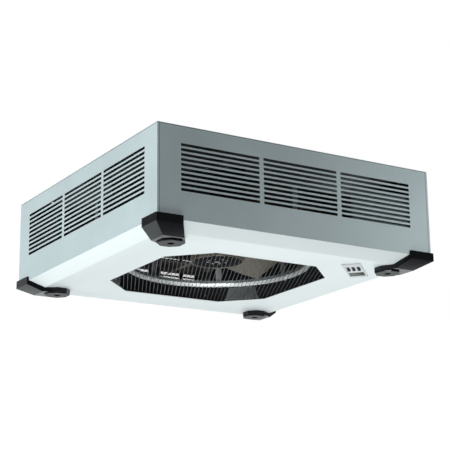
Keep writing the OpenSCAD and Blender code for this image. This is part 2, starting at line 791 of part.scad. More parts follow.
module element_front() color("#5d5a57") at_wall(0) element();
module element_right() color("#5d5a57") at_wall(1) element();
module element_back() color("#5d5a57") at_wall(2) element();
module element_left() color("#5d5a57") at_wall(3) element();

module element_bracket(x) difference() {
    union() {
        block([x - bracket_t / 2, -element_at - bracket_w / 2, deck_top],
              [x + bracket_t / 2, -element_at + bracket_w / 2, leg_high + 8]);
        block([x - bracket_t / 2, -element_at - bracket_w / 2, deck_top],
              [x + 11, -element_at - bracket_w / 2 + bracket_t, leg_high + 8]);
        block([x - bracket_t / 2, -element_at - bracket_w / 2, deck_top],
              [x + 11, -element_at + bracket_w / 2, deck_top + bracket_t]);
    }
    for (z = [leg_low, leg_high]) translate([x - 2, -element_at, z]) rotate([0, 90, 0])
        cylinder(r = tube_r + 0.1, h = 4);
    bracket_screw_place(x) translate([0, 0, -1]) cylinder(r = small_screw_r + hole_fit, h = bracket_t + 2);
}

module bracket_screw_place(x) translate([x + 6, -element_at + 6, deck_top]) children();

module element_brackets() for (x = bracket_places) element_bracket(x);

module element_brackets_front() color("#c6cfd1") at_wall(0) element_brackets();
module element_brackets_right() color("#c6cfd1") at_wall(1) element_brackets();
module element_brackets_back() color("#c6cfd1") at_wall(2) element_brackets();
module element_brackets_left() color("#c6cfd1") at_wall(3) element_brackets();

// ---------- terminal box, in the front right corner ----------

// Half the length that fits across the corner at a distance from the middle.
function corner_reach(at) = deck_half * sqrt(2) - at - 3;

// The sloping plate across a corner, which keeps the heated air off the corner.
module corner_plate() {
    y = corner_reach(box_back);
    block([box_at, -y, deck_top], [box_back, y, lid_z]);
    block([box_at - 12, -y + 50, deck_top], [box_back, y - 50, deck_top + box_t]);
}

// The outline of the space behind a corner plate, on the wall's side cut off before the screws.
module corner_space() {
    y = corner_reach(box_back);
    intersection() {
        polygon([[box_at, -y], [box_back + y, 0], [box_at, y]]);
        translate([box_at, -y]) square([y - skirt_cut, 2 * y]);
    }
}

// The blanking strip that keeps the air of the slots out of a corner.
module corner_skirt(from) linear_extrude(lid_z - deck_top) difference() {
    corner_space();
    translate([-sqrt(2) * box_t, 0]) corner_space();
    translate([box_at - 2, -half]) square([from - box_at + 2, 2 * half]);
}

module corner_plate_front_right() color("#aeb9bb") at_corner(0) difference() {
    corner_plate();
    translate([box_at - 1, cutout_y(), cutout_z()]) rotate([0, 90, 0])
        cylinder(r = 6, h = 4);
}
module blanked_corner_plate() {
    corner_plate();
    translate([0, 0, deck_top]) corner_skirt(box_at);
}

module corner_plate_back_right() color("#2b2e30") at_corner(1) blanked_corner_plate();
module corner_plate_back_left() color("#2b2e30") at_corner(2) blanked_corner_plate();
module corner_plate_front_left() color("#2b2e30") at_corner(3) corner_plate();

// A folded lid: its two skirts stand on the deck behind the front and right walls.
module box_lid() color("#aeb9bb") at_corner(0) difference() {
    union() {
        translate([0, 0, lid_z]) linear_extrude(box_t) corner_space();
        translate([0, 0, deck_top]) corner_skirt(box_back + fit);
    }
    translate([gland_at(), 0, lid_z - eps])
        cylinder(r = gland_r() + hole_fit, h = box_t + 2 * eps);
}

function gland_at() = box_back + 34;
function gland_r() = cable_r + 3;
function grommet_hole_r() = cable_r + 4.5;

module cable_grommet() color("#1f2022") at_corner(0) translate([gland_at(), 0, 0]) difference() {
    union() {
        translate([0, 0, -top_t]) cylinder(r = grommet_hole_r() - 0.1, h = top_t);
        translate([0, 0, -top_t - 2.5]) cylinder(r = grommet_hole_r() + 3, h = 2.5);
    }
    translate([0, 0, -top_t - 3]) cylinder(r = cable_r + 0.5, h = top_t + 4);
}

module cable_gland() color("#2d2f31") at_corner(0) translate([gland_at(), 0, lid_z]) difference() {
    union() {
        translate([0, 0, -9]) cylinder(r = gland_r(), h = 9 + box_t + 1);
        translate([0, 0, -6]) cylinder(r = gland_r() + 4, h = 6, $fn = 6);
        translate([0, 0, box_t]) cylinder(r = gland_r() + 4, h = 6, $fn = 6);
        translate([0, 0, box_t + 6]) cylinder(r = gland_r() + 2, h = 9);
        translate([0, 0, box_t + 15]) cylinder(r1 = gland_r() + 2, r2 = gland_r(), h = 3);
    }
    translate([0, 0, -10]) cylinder(r = cable_r, h = 40);
}

block_l = 62;
block_d = 20;
block_h = 22;
block_y = -44;
terminal_ways = 6;

module terminal_places()
    for (i = [0:terminal_ways - 1], x = [5, block_d - 5])
        translate([box_back + 0.2 + x, block_y + (i + 0.5) * block_l / terminal_ways - block_l / 2,
                   deck_top + block_h]) children();

module terminal_block() color("#d8d6cc") at_corner(0) difference() {
    block([box_back + 0.2, block_y - block_l / 2, deck_top],
          [box_back + 0.2 + block_d, block_y + block_l / 2, deck_top + block_h]);
    terminal_places() translate([0, 0, -5]) cylinder(r = 3, h = 6);
    for (i = [1:terminal_ways - 1])
        block([box_back - 1, block_y - block_l / 2 + i * block_l / terminal_ways - 0.6, deck_top + 15],
              [box_back + 2 + block_d, block_y - block_l / 2 + i * block_l / terminal_ways + 0.6,
               deck_top + block_h + 1]);
}

module terminal_screws() color("#c9a24a") at_corner(0) terminal_places()
    translate([0, 0, -5]) difference() {
        cylinder(r = 2.8, h = 3);
        block([-3, -0.4, 2], [3, 0.4, 4]);
    }

module contactor() color("#dfe2e0") at_corner(0) {
    x = box_back + 0.4;
    top = deck_top + contactor_h;
    difference() {
        block([x, contactor_y, deck_top], [x + contactor_w, contactor_y + contactor_l, top]);
        for (i = [0:3], dx = [5, contactor_w - 5])
            translate([x + dx, contactor_y + (i + 0.6) * contactor_l / 4.2, top - 4])
                cylinder(r = 2.6, h = 5);
    }
    block([x + contactor_w * 0.3, contactor_y + 8, top - 0.1],
          [x + contactor_w * 0.7, contactor_y + contactor_l - 8, top + 8]);
}

module motor_capacitor() color("#e9e9e4") at_corner(0) translate([capacitor_at, 0, deck_top]) {
    top = capacitor_h;
    cylinder(r = capacitor_r, h = top);
    translate([0, 0, top - 0.1]) cylinder(r = capacitor_r - 2, h = 3);
    for (y = [-5, 5]) block([-3, y - 0.4, top + 2], [3, y + 0.4, top + 10]);
}

function cutout_y() = 40;
function cutout_z() = deck_top + 74;

module thermal_cutout() color("#8a5a34") at_corner(0)
    translate([box_back, cutout_y(), cutout_z()]) rotate([0, 90, 0]) difference() {
        union() {
            cylinder(r = 10, h = 9);
            translate([0, 0, -box_t - 0.8]) cylinder(r = 5.7, h = 2);
            block([-3, -16, 0], [3, 16, 1.2]);
        }
        translate([0, 0, 3]) cylinder(r = 3.05, h = 8);
    }

reset_travel = 1.5;

module reset_button() color("#b3261e") at_corner(0)
    translate([box_back + 3 + reset_travel + 0.3, cutout_y(), cutout_z()])
        rotate([0, 90, 0]) cylinder(r = 3, h = 7.5);

// ---------- control plate, on the bottom panel ----------

module control_plate() color("#bfc3c6") at_corner(0) translate([plate_at, 0, 0]) difference() {
    union() {
        block([-control_w / 2, -control_l / 2, plate_face],
              [control_w / 2, control_l / 2, panel_face - 0.02]);
        block([-control_w / 2 + 2 + fit, -control_l / 2 + 3 + fit, panel_face - 0.1],
              [control_w / 2 - 2 - fit, control_l / 2 - 3 - fit, panel_inside + 0.8]);
    }
    rocker_places() block([-rocker_hole_w / 2, -rocker_hole_l / 2, plate_face - 1],
                          [rocker_hole_w / 2, rocker_hole_l / 2, panel_inside + 2]);
    translate([0, window_at, 0]) {
        block([-window_w / 2 - 0.1, -window_l / 2 - 0.1, plate_face - 1],
              [window_w / 2 + 0.1, window_l / 2 + 0.1, plate_face + 1.7]);
        block([-window_w / 2 + 2, -window_l / 2 + 2, plate_face - 1],
              [window_w / 2 - 2, window_l / 2 - 2, panel_inside + 2]);
    }
}

module rocker_places() for (i = [-1, 0, 1]) rocker_place(i) children();
module rocker_place(i) translate([i * rocker_pitch, rocker_at, 0]) children();

// A rocker in its off position: two sloping faces below a pivot pin.
module rocker(i) at_corner(0) translate([plate_at, 0, 0]) rocker_place(i)
    translate([0, 0, pivot_z]) rotate([-rocker_tilt, 0, 0]) {
        rotate([90, 0, 90]) linear_extrude(rocker_w, center = true) {
            l = rocker_l / 2;
            deep = pivot_z - plate_face;
            polygon([[-l, -deep - l * tan(rocker_tilt) + 0.4], [0, -deep + 0.6],
                     [l, -deep - l * tan(rocker_tilt) + 0.4],
                     [l - 1, 1.2], [4, 3], [-4, 3], [-l + 1, 1.2]]);
        }
        rotate([0, 90, 0]) cylinder(r = 1, h = rocker_w + 2 * (housing_wall + fit) - 0.6, center = true);
    }

module rocker_fan() color("#17181a") rocker(-1);
module rocker_low_heat() color("#17181a") rocker(0);
module rocker_high_heat() color("#17181a") rocker(1);

module switch_housing() difference() {
    w = rocker_hole_w / 2 + housing_wall;
    l = rocker_hole_l / 2 + housing_wall;
    base = panel_inside + 0.9;
    union() {
        block([-w, -l, base], [w, l, housing_top]);
        for (y = [-7, 0, 7]) block([-0.4, y - 2.4, housing_top - 0.1], [0.4, y + 2.4, housing_top + 7]);
    }
    block([-rocker_hole_w / 2, -rocker_hole_l / 2, base - 1],
          [rocker_hole_w / 2, rocker_hole_l / 2, pivot_z + 8]);
    translate([0, 0, pivot_z]) rotate([0, 90, 0]) cylinder(r = 1.05, h = 20, center = true);
}

module switch_housings() color("#e4e4e0") at_corner(0) translate([plate_at, 0, 0])
    rocker_places() switch_housing();

module indicator_window() color("#6b6c48") at_corner(0)
    translate([plate_at, window_at, 0])
        block([-window_w / 2, -window_l / 2, plate_face + 0.2],
              [window_w / 2, window_l / 2, plate_face + 1.7]);

module indicator_board() color("#2f6b45") at_corner(0) translate([plate_at, window_at, 0]) {
    top = panel_inside + 0.8;
    block([-window_w / 2 + 0.5, -window_l / 2 - 1, top], [window_w / 2 - 0.5, window_l / 2 + 1, top + 1.6]);
    for (x = [-rocker_pitch, 0, rocker_pitch]) translate([x, 0, top - 1.7]) cylinder(r = 2.2, h = 1.9);
}

top_plate();
side_front();
side_right();
side_back();
side_left();
casing_screws();
bottom_panel();
outlet_guard();
guard_bracket_front_left();
guard_bracket_front_right();
guard_bracket_back_right();
guard_bracket_back_left();
corner_cap_front_left();
corner_cap_front_right();
corner_cap_back_right();
corner_cap_back_left();
panel_standoffs();
standoff_screws();
fan_deck();
fan_ring();
motor_basket();
deck_screws();
motor_screws();
stator_housing();
stator_core();
stator_windings();
bearing_upper();
bearing_lower();
motor_shaft();
rotor_can();
rotor_ring();
impeller();
element_front();
element_right();
element_back();
element_left();
element_brackets_front();
element_brackets_right();
element_brackets_back();
element_brackets_left();
corner_plate_front_left();
corner_plate_front_right();
corner_plate_back_right();
corner_plate_back_left();
box_lid();
terminal_block();
terminal_screws();
contactor();
motor_capacitor();
thermal_cutout();
reset_button();
cable_grommet();
cable_gland();
control_plate();
rocker_fan();
rocker_low_heat();
rocker_high_heat();
switch_housings();
indicator_window();
indicator_board();
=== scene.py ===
# %% [markdown]
# # A ceiling fan heater
# A square sheet metal casing hangs from the ceiling. Air is drawn in through the slots in its walls, warmed
# by finned elements and blown down by an axial fan through an eight-sided outlet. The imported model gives
# every piece its place and size in metres. Here each piece gets its finish, and the ones that need finer
# forms than plain solids are made again.

# %% Load the frame
import bpy, bmesh, json, math
from mathutils import Matrix, Vector

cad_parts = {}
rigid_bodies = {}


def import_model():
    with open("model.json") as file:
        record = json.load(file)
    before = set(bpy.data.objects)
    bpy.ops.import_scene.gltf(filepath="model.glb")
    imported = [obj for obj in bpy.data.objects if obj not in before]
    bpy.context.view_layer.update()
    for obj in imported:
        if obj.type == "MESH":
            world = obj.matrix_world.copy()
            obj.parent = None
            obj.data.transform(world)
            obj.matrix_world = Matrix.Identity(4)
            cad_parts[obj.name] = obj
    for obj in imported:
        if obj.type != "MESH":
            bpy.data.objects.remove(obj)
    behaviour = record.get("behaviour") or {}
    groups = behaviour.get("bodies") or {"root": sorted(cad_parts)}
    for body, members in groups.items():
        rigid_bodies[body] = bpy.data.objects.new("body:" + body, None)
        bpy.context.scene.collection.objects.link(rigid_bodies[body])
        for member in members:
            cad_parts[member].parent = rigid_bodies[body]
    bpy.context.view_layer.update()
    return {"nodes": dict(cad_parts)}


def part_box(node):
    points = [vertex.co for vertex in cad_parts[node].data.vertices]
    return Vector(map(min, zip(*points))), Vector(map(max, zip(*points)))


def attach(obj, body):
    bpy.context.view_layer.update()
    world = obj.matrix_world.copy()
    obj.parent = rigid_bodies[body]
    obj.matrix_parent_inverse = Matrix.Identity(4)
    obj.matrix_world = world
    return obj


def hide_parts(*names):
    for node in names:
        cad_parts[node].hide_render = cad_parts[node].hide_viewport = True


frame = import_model()
nodes = frame["nodes"]
MM = 0.001

# %% [markdown]
# ## Sizes
# The casing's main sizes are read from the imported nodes, so that each new piece sits on what carries it. Only
# the few sizes that a box can't tell, such as the pitch of the guard, are written down here.

# %% Sizes
guard_low, guard_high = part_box("outlet_guard")
can_low, can_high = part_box("rotor_can")
FAN_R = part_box("impeller")[1].x
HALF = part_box("bottom_panel")[1].x
OPENING_W = 367 * MM
OPENING_CUT = 72 * MM
print("casing", round(2 * HALF / MM), "mm, fan", round(FAN_R / MM), "mm in radius")

# %% [markdown]
# ## The camera
# The photograph was taken with a long lens from below the heater, a little to the left of its front. A camera
# fitted to the casing's edges gives the place and the three directions used here. A long lens keeps the far
# walls nearly as large as the near ones.

# %% Camera
CAMERA_AT = Vector((-1.35988, -2.25755, -0.80184))
LOOK = Vector((0.50243752, 0.822809, 0.26559714))
RIGHT = Vector((0.85490448, -0.51868132, -0.01039344))
SENSOR_WIDTH, FOCAL_LENGTH = 36, 108.35
lens = bpy.data.cameras.new("camera")
lens.sensor_width = SENSOR_WIDTH
lens.lens = FOCAL_LENGTH
camera = bpy.data.objects.new("camera", lens)
bpy.context.scene.collection.objects.link(camera)
turn = Matrix((RIGHT, RIGHT.cross(LOOK), -LOOK)).transposed().to_4x4()
camera.matrix_world = Matrix.Translation(CAMERA_AT) @ turn
bpy.context.scene.camera = camera
print("camera looks", [round(a, 3) for a in LOOK])

# %% [markdown]
# ## Helpers
# Three helpers do most of the repeated work. `keep` lets a finished piece ride on a body of the frame, in
# place of the plain nodes that it stands for. `Tree` builds a Geometry Nodes tree with named inputs.
# `rounded` makes a copy of a plain solid with its edges softened, as every pressed or moulded edge really is.

# %% Helper: keep a finished piece
def keep(piece, body, *stands_for):
    """The finished piece rides on a body, and hides the nodes that it stands for."""
    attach(piece, body)
    if stands_for:
        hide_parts(*stands_for)
    return piece

def new_object(name, mesh, *materials):
    piece = bpy.data.objects.new(name, mesh)
    for material in materials:
        piece.data.materials.append(material)
    bpy.context.scene.collection.objects.link(piece)
    return piece

def smooth_by_angle(mesh, degrees=35):
    """Shades soft faces smoothly and keeps real edges sharp."""
    mesh.polygons.foreach_set("use_smooth", [True] * len(mesh.polygons))
    mesh.set_sharp_from_angle(angle=math.radians(degrees))

# %% Helper: a Geometry Nodes tree
class Tree:
    """A Geometry Nodes tree. Its inputs are named, and each has a start value."""
    def __init__(self, name, **inputs):
        self.group = bpy.data.node_groups.new(name, "GeometryNodeTree")
        self.group.interface.new_socket("Geometry", in_out="OUTPUT", socket_type="NodeSocketGeometry")
        self.ids = {}
        for key, value in inputs.items():
            key = key.replace("_", " ")
            kind = "NodeSocketInt" if isinstance(value, int) else "NodeSocketFloat"
            if isinstance(value, bpy.types.Material):
                kind = "NodeSocketMaterial"
            socket = self.group.interface.new_socket(key, in_out="INPUT", socket_type=kind)
            socket.default_value = value
            self.ids[key] = socket.identifier
        self.values = {key.replace("_", " "): value for key, value in inputs.items()}
        self.source = self.group.nodes.new("NodeGroupInput")

    def __getitem__(self, key):
        return self.source.outputs[key]

    def node(self, kind, settings=None, **sockets):
        """Adds a node. Settings are its menus, and sockets are values or links, by name or by s0, s1 ..."""
        made = self.group.nodes.new(kind)
        for key, value in (settings or {}).items():
            setattr(made, key, value)
        for key, value in sockets.items():
            if key[0] == "s" and key[1:].isdigit():
                socket = made.inputs[int(key[1:])]
            else:
                socket = made.inputs[key.replace("_", " ")]
            if isinstance(value, bpy.types.NodeSocket):
                self.group.links.new(value, socket)
            else:
                socket.default_value = value
        return made

    def math(self, operation, a, b=0.0, c=0.0):
        return self.node("ShaderNodeMath", {"operation": operation}, s0=a, s1=b, s2=c).outputs[0]

    def vector(self, x=0.0, y=0.0, z=0.0):
        return self.node("ShaderNodeCombineXYZ", X=x, Y=y, Z=z).outputs[0]

    def scaled(self, vector, factor):
        return self.node("ShaderNodeVectorMath", {"operation": "SCALE"}, s0=vector, Scale=factor).outputs[0]

    def added(self, a, b):
        return self.node("ShaderNodeVectorMath", {"operation": "ADD"}, s0=a, s1=b).outputs[0]

    def dot(self, a, b):
        return self.node("ShaderNodeVectorMath", {"operation": "DOT_PRODUCT"}, s0=a, s1=b).outputs[1]

    def finish(self, geometry, material):
        """Ends the tree: real geometry, one material."""
        real = self.node("GeometryNodeRealizeInstances", Geometry=geometry)
        painted = self.node("GeometryNodeSetMaterial", Geometry=real.outputs[0], Material=material)
        end = self.group.nodes.new("NodeGroupOutput")
        self.group.links.new(painted.outputs[0], end.inputs[0])

    def grow(self, name, **values):
        """Runs the tree and gives its result as an object with a plain mesh."""
        host = new_object(name + "_host", bpy.data.meshes.new(name + "_host"))
        modifier = host.modifiers.new("grow", "NODES")
        modifier.node_group = self.group
        for key, value in {**self.values, **values}.items():
            modifier[self.ids[key]] = value
        graph = bpy.context.evaluated_depsgraph_get()
        mesh = bpy.data.meshes.new_from_object(host.evaluated_get(graph))
        bpy.data.objects.remove(host)
        mesh.name = name
        piece = new_object(name, mesh)
        print(name, len(mesh.polygons), "faces")
        return piece

# %% Helper: a copy of a solid with softened edges
MERGE_DISTANCE = 0.01 * MM
FLAT_ANGLE, FACET_ANGLE, ALL_SMOOTH = 0.5, 12, 180

def rounded(node, material, radius, segments=2, angle=30, facets=False):
    """A copy of a node's mesh, merged, with its sharp edges bevelled. Facets keep a crisp edge."""
    mesh = nodes[node].data.copy()
    mesh.materials.clear()
    work = bmesh.new()
    work.from_mesh(mesh)
    bmesh.ops.remove_doubles(work, verts=work.verts, dist=MERGE_DISTANCE)
    bmesh.ops.dissolve_limit(work, angle_limit=math.radians(FLAT_ANGLE), verts=work.verts,
                             edges=work.edges)
    work.to_mesh(mesh)
    work.free()
    smooth_by_angle(mesh, ALL_SMOOTH)
    piece = new_object(node + "_soft", mesh, material)
    bevel = piece.modifiers.new("edges", "BEVEL")
    bevel.width = radius
    bevel.segments = segments
    bevel.limit_method = "ANGLE"
    bevel.angle_limit = math.radians(angle)
    bevel.use_clamp_overlap = True
    bevel.harden_normals = not facets
    graph = bpy.context.evaluated_depsgraph_get()
    piece.data = bpy.data.meshes.new_from_object(piece.evaluated_get(graph))
    piece.modifiers.clear()
    if facets:
        smooth_by_angle(piece.data, FACET_ANGLE)
    return piece

# %% [markdown]
# ## Finishes
# A finish is more than one colour. Powder coat has a faint orange peel and is a little uneven, zinc shows
# large soft crystals, and moulded plastic has a fine grain. Each finish is built from noise on Object
# coordinates, which stay fixed to the piece.

# %% Helper: a finish from noise
DARKER_BELOW, LIGHTER_ABOVE = 0.35, 0.65
SMOOTH_BELOW, ROUGH_ABOVE = 0.3, 0.7
SMOOTHEST = 0.02
BUMP_HEIGHT = 0.1 * MM

def finish(name, colour, rough=0.45, metal=0.0, spread=0.06, mottle=60.0, grain=900.0, bump=0.15,
           rough_spread=0.08, stretch=(1, 1, 1), second=None, ior=1.5):
    """A principled material whose colour and roughness vary with soft noise, and with a fine bump."""
    material = bpy.data.materials.new(name)
    material.use_nodes = True
    tree = material.node_tree
    shader = tree.nodes["Principled BSDF"]
    shader.inputs["Metallic"].default_value = metal
    shader.inputs["IOR"].default_value = ior
    place = tree.nodes.new("ShaderNodeTexCoord")
    mapping = tree.nodes.new("ShaderNodeMapping")
    mapping.inputs["Scale"].default_value = stretch
    tree.links.new(place.outputs["Object"], mapping.inputs["Vector"])
    soft = tree.nodes.new("ShaderNodeTexNoise")
    soft.inputs["Scale"].default_value = mottle
    soft.inputs["Detail"].default_value = 4
    tree.links.new(mapping.outputs[0], soft.inputs["Vector"])
    ramp = tree.nodes.new("ShaderNodeValToRGB")
    dark = [max(0.0, c * (1 - spread)) for c in colour]
    light = list(second) if second else [min(1.0, c * (1 + spread)) for c in colour]
    ramp.color_ramp.elements[0].position = DARKER_BELOW
    ramp.color_ramp.elements[1].position = LIGHTER_ABOVE
    ramp.color_ramp.elements[0].color = (*dark, 1)
    ramp.color_ramp.elements[1].color = (*light, 1)
    tree.links.new(soft.outputs[0], ramp.inputs[0])
    tree.links.new(ramp.outputs[0], shader.inputs["Base Color"])
    spreader = tree.nodes.new("ShaderNodeMapRange")
    spreader.inputs["From Min"].default_value = SMOOTH_BELOW
    spreader.inputs["From Max"].default_value = ROUGH_ABOVE
    spreader.inputs["To Min"].default_value = max(SMOOTHEST, rough - rough_spread)
    spreader.inputs["To Max"].default_value = min(1.0, rough + rough_spread)
    tree.links.new(soft.outputs[0], spreader.inputs["Value"])
    tree.links.new(spreader.outputs[0], shader.inputs["Roughness"])
    if bump:
        fine = tree.nodes.new("ShaderNodeTexNoise")
        fine.inputs["Scale"].default_value = grain
        fine.inputs["Detail"].default_value = 2
        tree.links.new(mapping.outputs[0], fine.inputs["Vector"])
        raised = tree.nodes.new("ShaderNodeBump")
        raised.inputs["Strength"].default_value = bump
        raised.inputs["Distance"].default_value = BUMP_HEIGHT
        tree.links.new(fine.outputs[0], raised.inputs["Height"])
        tree.links.new(raised.outputs[0], shader.inputs["Normal"])
    return material

# %% Helper: painted shade inside
# Near black: painted shade for the dark inside of the casing.
INSIDE_SHADE = (0.012, 0.013, 0.014, 1)
METAL_FLAKE = 0.30

def paint_shade_inside(material, wall, roof):
    """Painted shade: within the walls, and under the top plate, the casing's colour turns near black and loses
    its metal flake.
    """
    tree = material.node_tree
    shader = tree.nodes["Principled BSDF"]
    paint = shader.inputs["Base Color"].links[0].from_socket
    place = tree.nodes.new("ShaderNodeTexCoord")
    split = tree.nodes.new("ShaderNodeSeparateXYZ")
    tree.links.new(place.outputs["Object"], split.inputs[0])

    def step(operation, a, b):
        made = tree.nodes.new("ShaderNodeMath")
        made.operation = operation
        for socket, value in zip(made.inputs, (a, b)):
            if isinstance(value, (int, float)):
                socket.default_value = value
            else:
                tree.links.new(value, socket)
        return made.outputs[0]

    out = step("MAXIMUM", step("ABSOLUTE", split.outputs[0], 0.0),
               step("ABSOLUTE", split.outputs[1], 0.0))
    inside = step("MULTIPLY", step("LESS_THAN", out, wall), step("LESS_THAN", split.outputs[2], roof))
    mix = tree.nodes.new("ShaderNodeMix")
    mix.data_type = "RGBA"
    tree.links.new(inside, mix.inputs[0])
    tree.links.new(paint, mix.inputs[6])
    mix.inputs[7].default_value = INSIDE_SHADE
    tree.links.new(mix.outputs[2], shader.inputs["Base Color"])
    metal = step("MULTIPLY", step("SUBTRACT", 1.0, inside), METAL_FLAKE)
    tree.links.new(metal, shader.inputs["Metallic"])

# %% Finishes: sheet metal
casing_paint = finish("silver_powder_coat", (0.60, 0.68, 0.70), rough=0.40, spread=0.03,
                      mottle=9, grain=1400, bump=0.12, rough_spread=0.05)
# The casing's inside is darkened to near black: painted shade.
paint_shade_inside(casing_paint, wall=HALF - 0.4 * MM, roof=-0.6 * MM)
panel_paint = finish("white_powder_coat", (0.80, 0.835, 0.835), rough=0.40, spread=0.012, mottle=7,
                     grain=1100, bump=0.10, rough_spread=0.04)
zinc_sheet = finish("zinc_coated_sheet", (0.52, 0.56, 0.57), rough=0.38, metal=0.6, spread=0.16,
                    mottle=75, grain=700, bump=0.08, rough_spread=0.12)
# A dark copy of the zinc sheet: painted shade, for the sheets inside the casing and the ring's collar.
zinc_painted_shade = finish("dull_zinc_sheet", (0.16, 0.185, 0.19), rough=0.45, metal=0.5, spread=0.12,
                   mottle=75, grain=700, bump=0.08)
# The fan deck's own black; on three corner plates the same black is painted shade.
black_deck_and_shade = finish("black_satin_sheet", (0.006, 0.006, 0.007), rough=0.60, ior=1.2, spread=0.12,
                    mottle=20, grain=1200, bump=0.15)
# A bright copy of the zinc sheet: painted light, for the ring's rolled lip and the guard brackets.
ring_zinc = finish("ring_zinc", (0.86, 0.89, 0.90), rough=0.34, metal=0.35, spread=0.05, mottle=90,
                   grain=900, bump=0.06, rough_spread=0.08)
zinc_bright = finish("bright_zinc", (0.62, 0.64, 0.65), rough=0.30, metal=1.0, spread=0.10, mottle=300,
                     grain=2500, bump=0.05)
black_steel = finish("blackened_steel", (0.035, 0.036, 0.038), rough=0.40, metal=0.7, spread=0.2,
                     mottle=250, grain=2500, bump=0.08)
print("finishes so far:", len(bpy.data.materials))

# %% Finishes: fan, motor and elements
# The blades' and hub's aluminium: its tan tone is its own, its darkness well below that of bare aluminium is
# painted shade.
blade_alloy_shaded = finish("mill_aluminium", (0.27, 0.245, 0.20), rough=0.40, metal=0.6, spread=0.10, mottle=40,
                     grain=1500, bump=0.06, stretch=(1, 8, 1))
# A bright copy of the blade metal: painted highlight on the steep rims of the blades and rivets.
blade_rim_highlight = finish("cut_aluminium_edge", (0.90, 0.90, 0.88), rough=0.28, metal=0.4, spread=0.05, mottle=200,
                  grain=1500, bump=0.04)
can_paint = finish("motor_black", (0.004, 0.004, 0.005), rough=0.60, ior=1.15, spread=0.15, mottle=60,
                   grain=1600, bump=0.3)
wire_paint = finish("wire_grey", (0.30, 0.32, 0.33), rough=0.35, metal=0.6, spread=0.08, mottle=90,
                    grain=1600, bump=0.1)
# Two copies of the guard's dark paint: the lighter one is painted light on the lit layer of wires, the
# near-black one is painted shade on the other layer and the border's own black.
guard_wire_lit = finish("guard_zinc", (0.07, 0.07, 0.075), rough=0.45, metal=0.2, ior=1.3, spread=0.15,
                     mottle=120, grain=2000, bump=0.1)
guard_wire_shade_black = finish("guard_black", (0.004, 0.004, 0.005), rough=0.6, ior=1.15, spread=0.15, mottle=120,
                    grain=2000, bump=0.1)
element_steel = finish("heat_dark_steel", (0.17, 0.155, 0.14), rough=0.42, metal=0.9, spread=0.25,
                       mottle=55, grain=1200, bump=0.1, second=(0.24, 0.21, 0.17))
copper_wire = finish("enamelled_copper", (0.42, 0.16, 0.05), rough=0.28, metal=0.9, spread=0.12,
                     mottle=400, grain=3000, bump=0.3, stretch=(1, 1, 6))
core_steel = finish("core_laminations", (0.22, 0.23, 0.24), rough=0.5, metal=0.8, spread=0.2, mottle=900,
                    grain=3000, bump=0.4, stretch=(0.1, 0.1, 6))
ground_steel = finish("ground_steel", (0.60, 0.61, 0.62), rough=0.22, metal=1.0, spread=0.05, mottle=200,
                      grain=3000, bump=0.05)
print("finishes so far:", len(bpy.data.materials))

# %% Finishes: plastics, glass and the rest
cap_plastic = finish("cap_black_plastic", (0.002, 0.002, 0.004), rough=0.13, ior=1.36, spread=0.12,
                     mottle=160, grain=1300, bump=0.12, rough_spread=0.03)
pad_plastic = finish("pad_black_plastic", (0.002, 0.002, 0.003), rough=0.28, ior=1.16, spread=0.12,
                     mottle=160, grain=1300, bump=0.12, rough_spread=0.03)
rocker_plastic = finish("rocker_black", (0.004, 0.004, 0.005), rough=0.26, ior=1.12, spread=0.1, mottle=300,
                        grain=2600, bump=0.1)
pale_plastic = finish("pale_plastic", (0.62, 0.62, 0.58), rough=0.5, spread=0.05, mottle=80, grain=1800,
                      bump=0.15)
dark_plastic = finish("dark_plastic", (0.03, 0.03, 0.032), rough=0.5, spread=0.15, mottle=100, grain=1600,
                      bump=0.2)
brown_plastic = finish("brown_plastic", (0.12, 0.045, 0.02), rough=0.4, spread=0.1, mottle=200, grain=1800,
                       bump=0.15)
red_plastic = finish("red_plastic", (0.45, 0.02, 0.012), rough=0.25, spread=0.06, mottle=200, grain=1800,
                     bump=0.05)
rubber = finish("black_rubber", (0.016, 0.016, 0.017), rough=0.75, spread=0.2, mottle=150, grain=1400,
                bump=0.35)
plate_alloy = finish("plate_satin_alloy", (0.60, 0.62, 0.63), rough=0.33, metal=0.75, spread=0.04,
                     mottle=120, grain=1800, bump=0.08)
brass = finish("brass", (0.55, 0.37, 0.12), rough=0.28, metal=1.0, spread=0.1, mottle=300, grain=2500,
               bump=0.05)
board_green = finish("board_green", (0.03, 0.16, 0.07), rough=0.35, spread=0.12, mottle=350, grain=2500,
                     bump=0.1)
window_tint = finish("olive_window", (0.038, 0.038, 0.012), rough=0.20, ior=1.12, spread=0.10, mottle=90,
                     grain=2000, bump=0.03, rough_spread=0.04)
print("finishes in all:", len(bpy.data.materials))

# %% [markdown]
# ## The plain pieces
# Most of the heater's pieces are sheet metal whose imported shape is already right. They keep that shape and
# only get their finish.

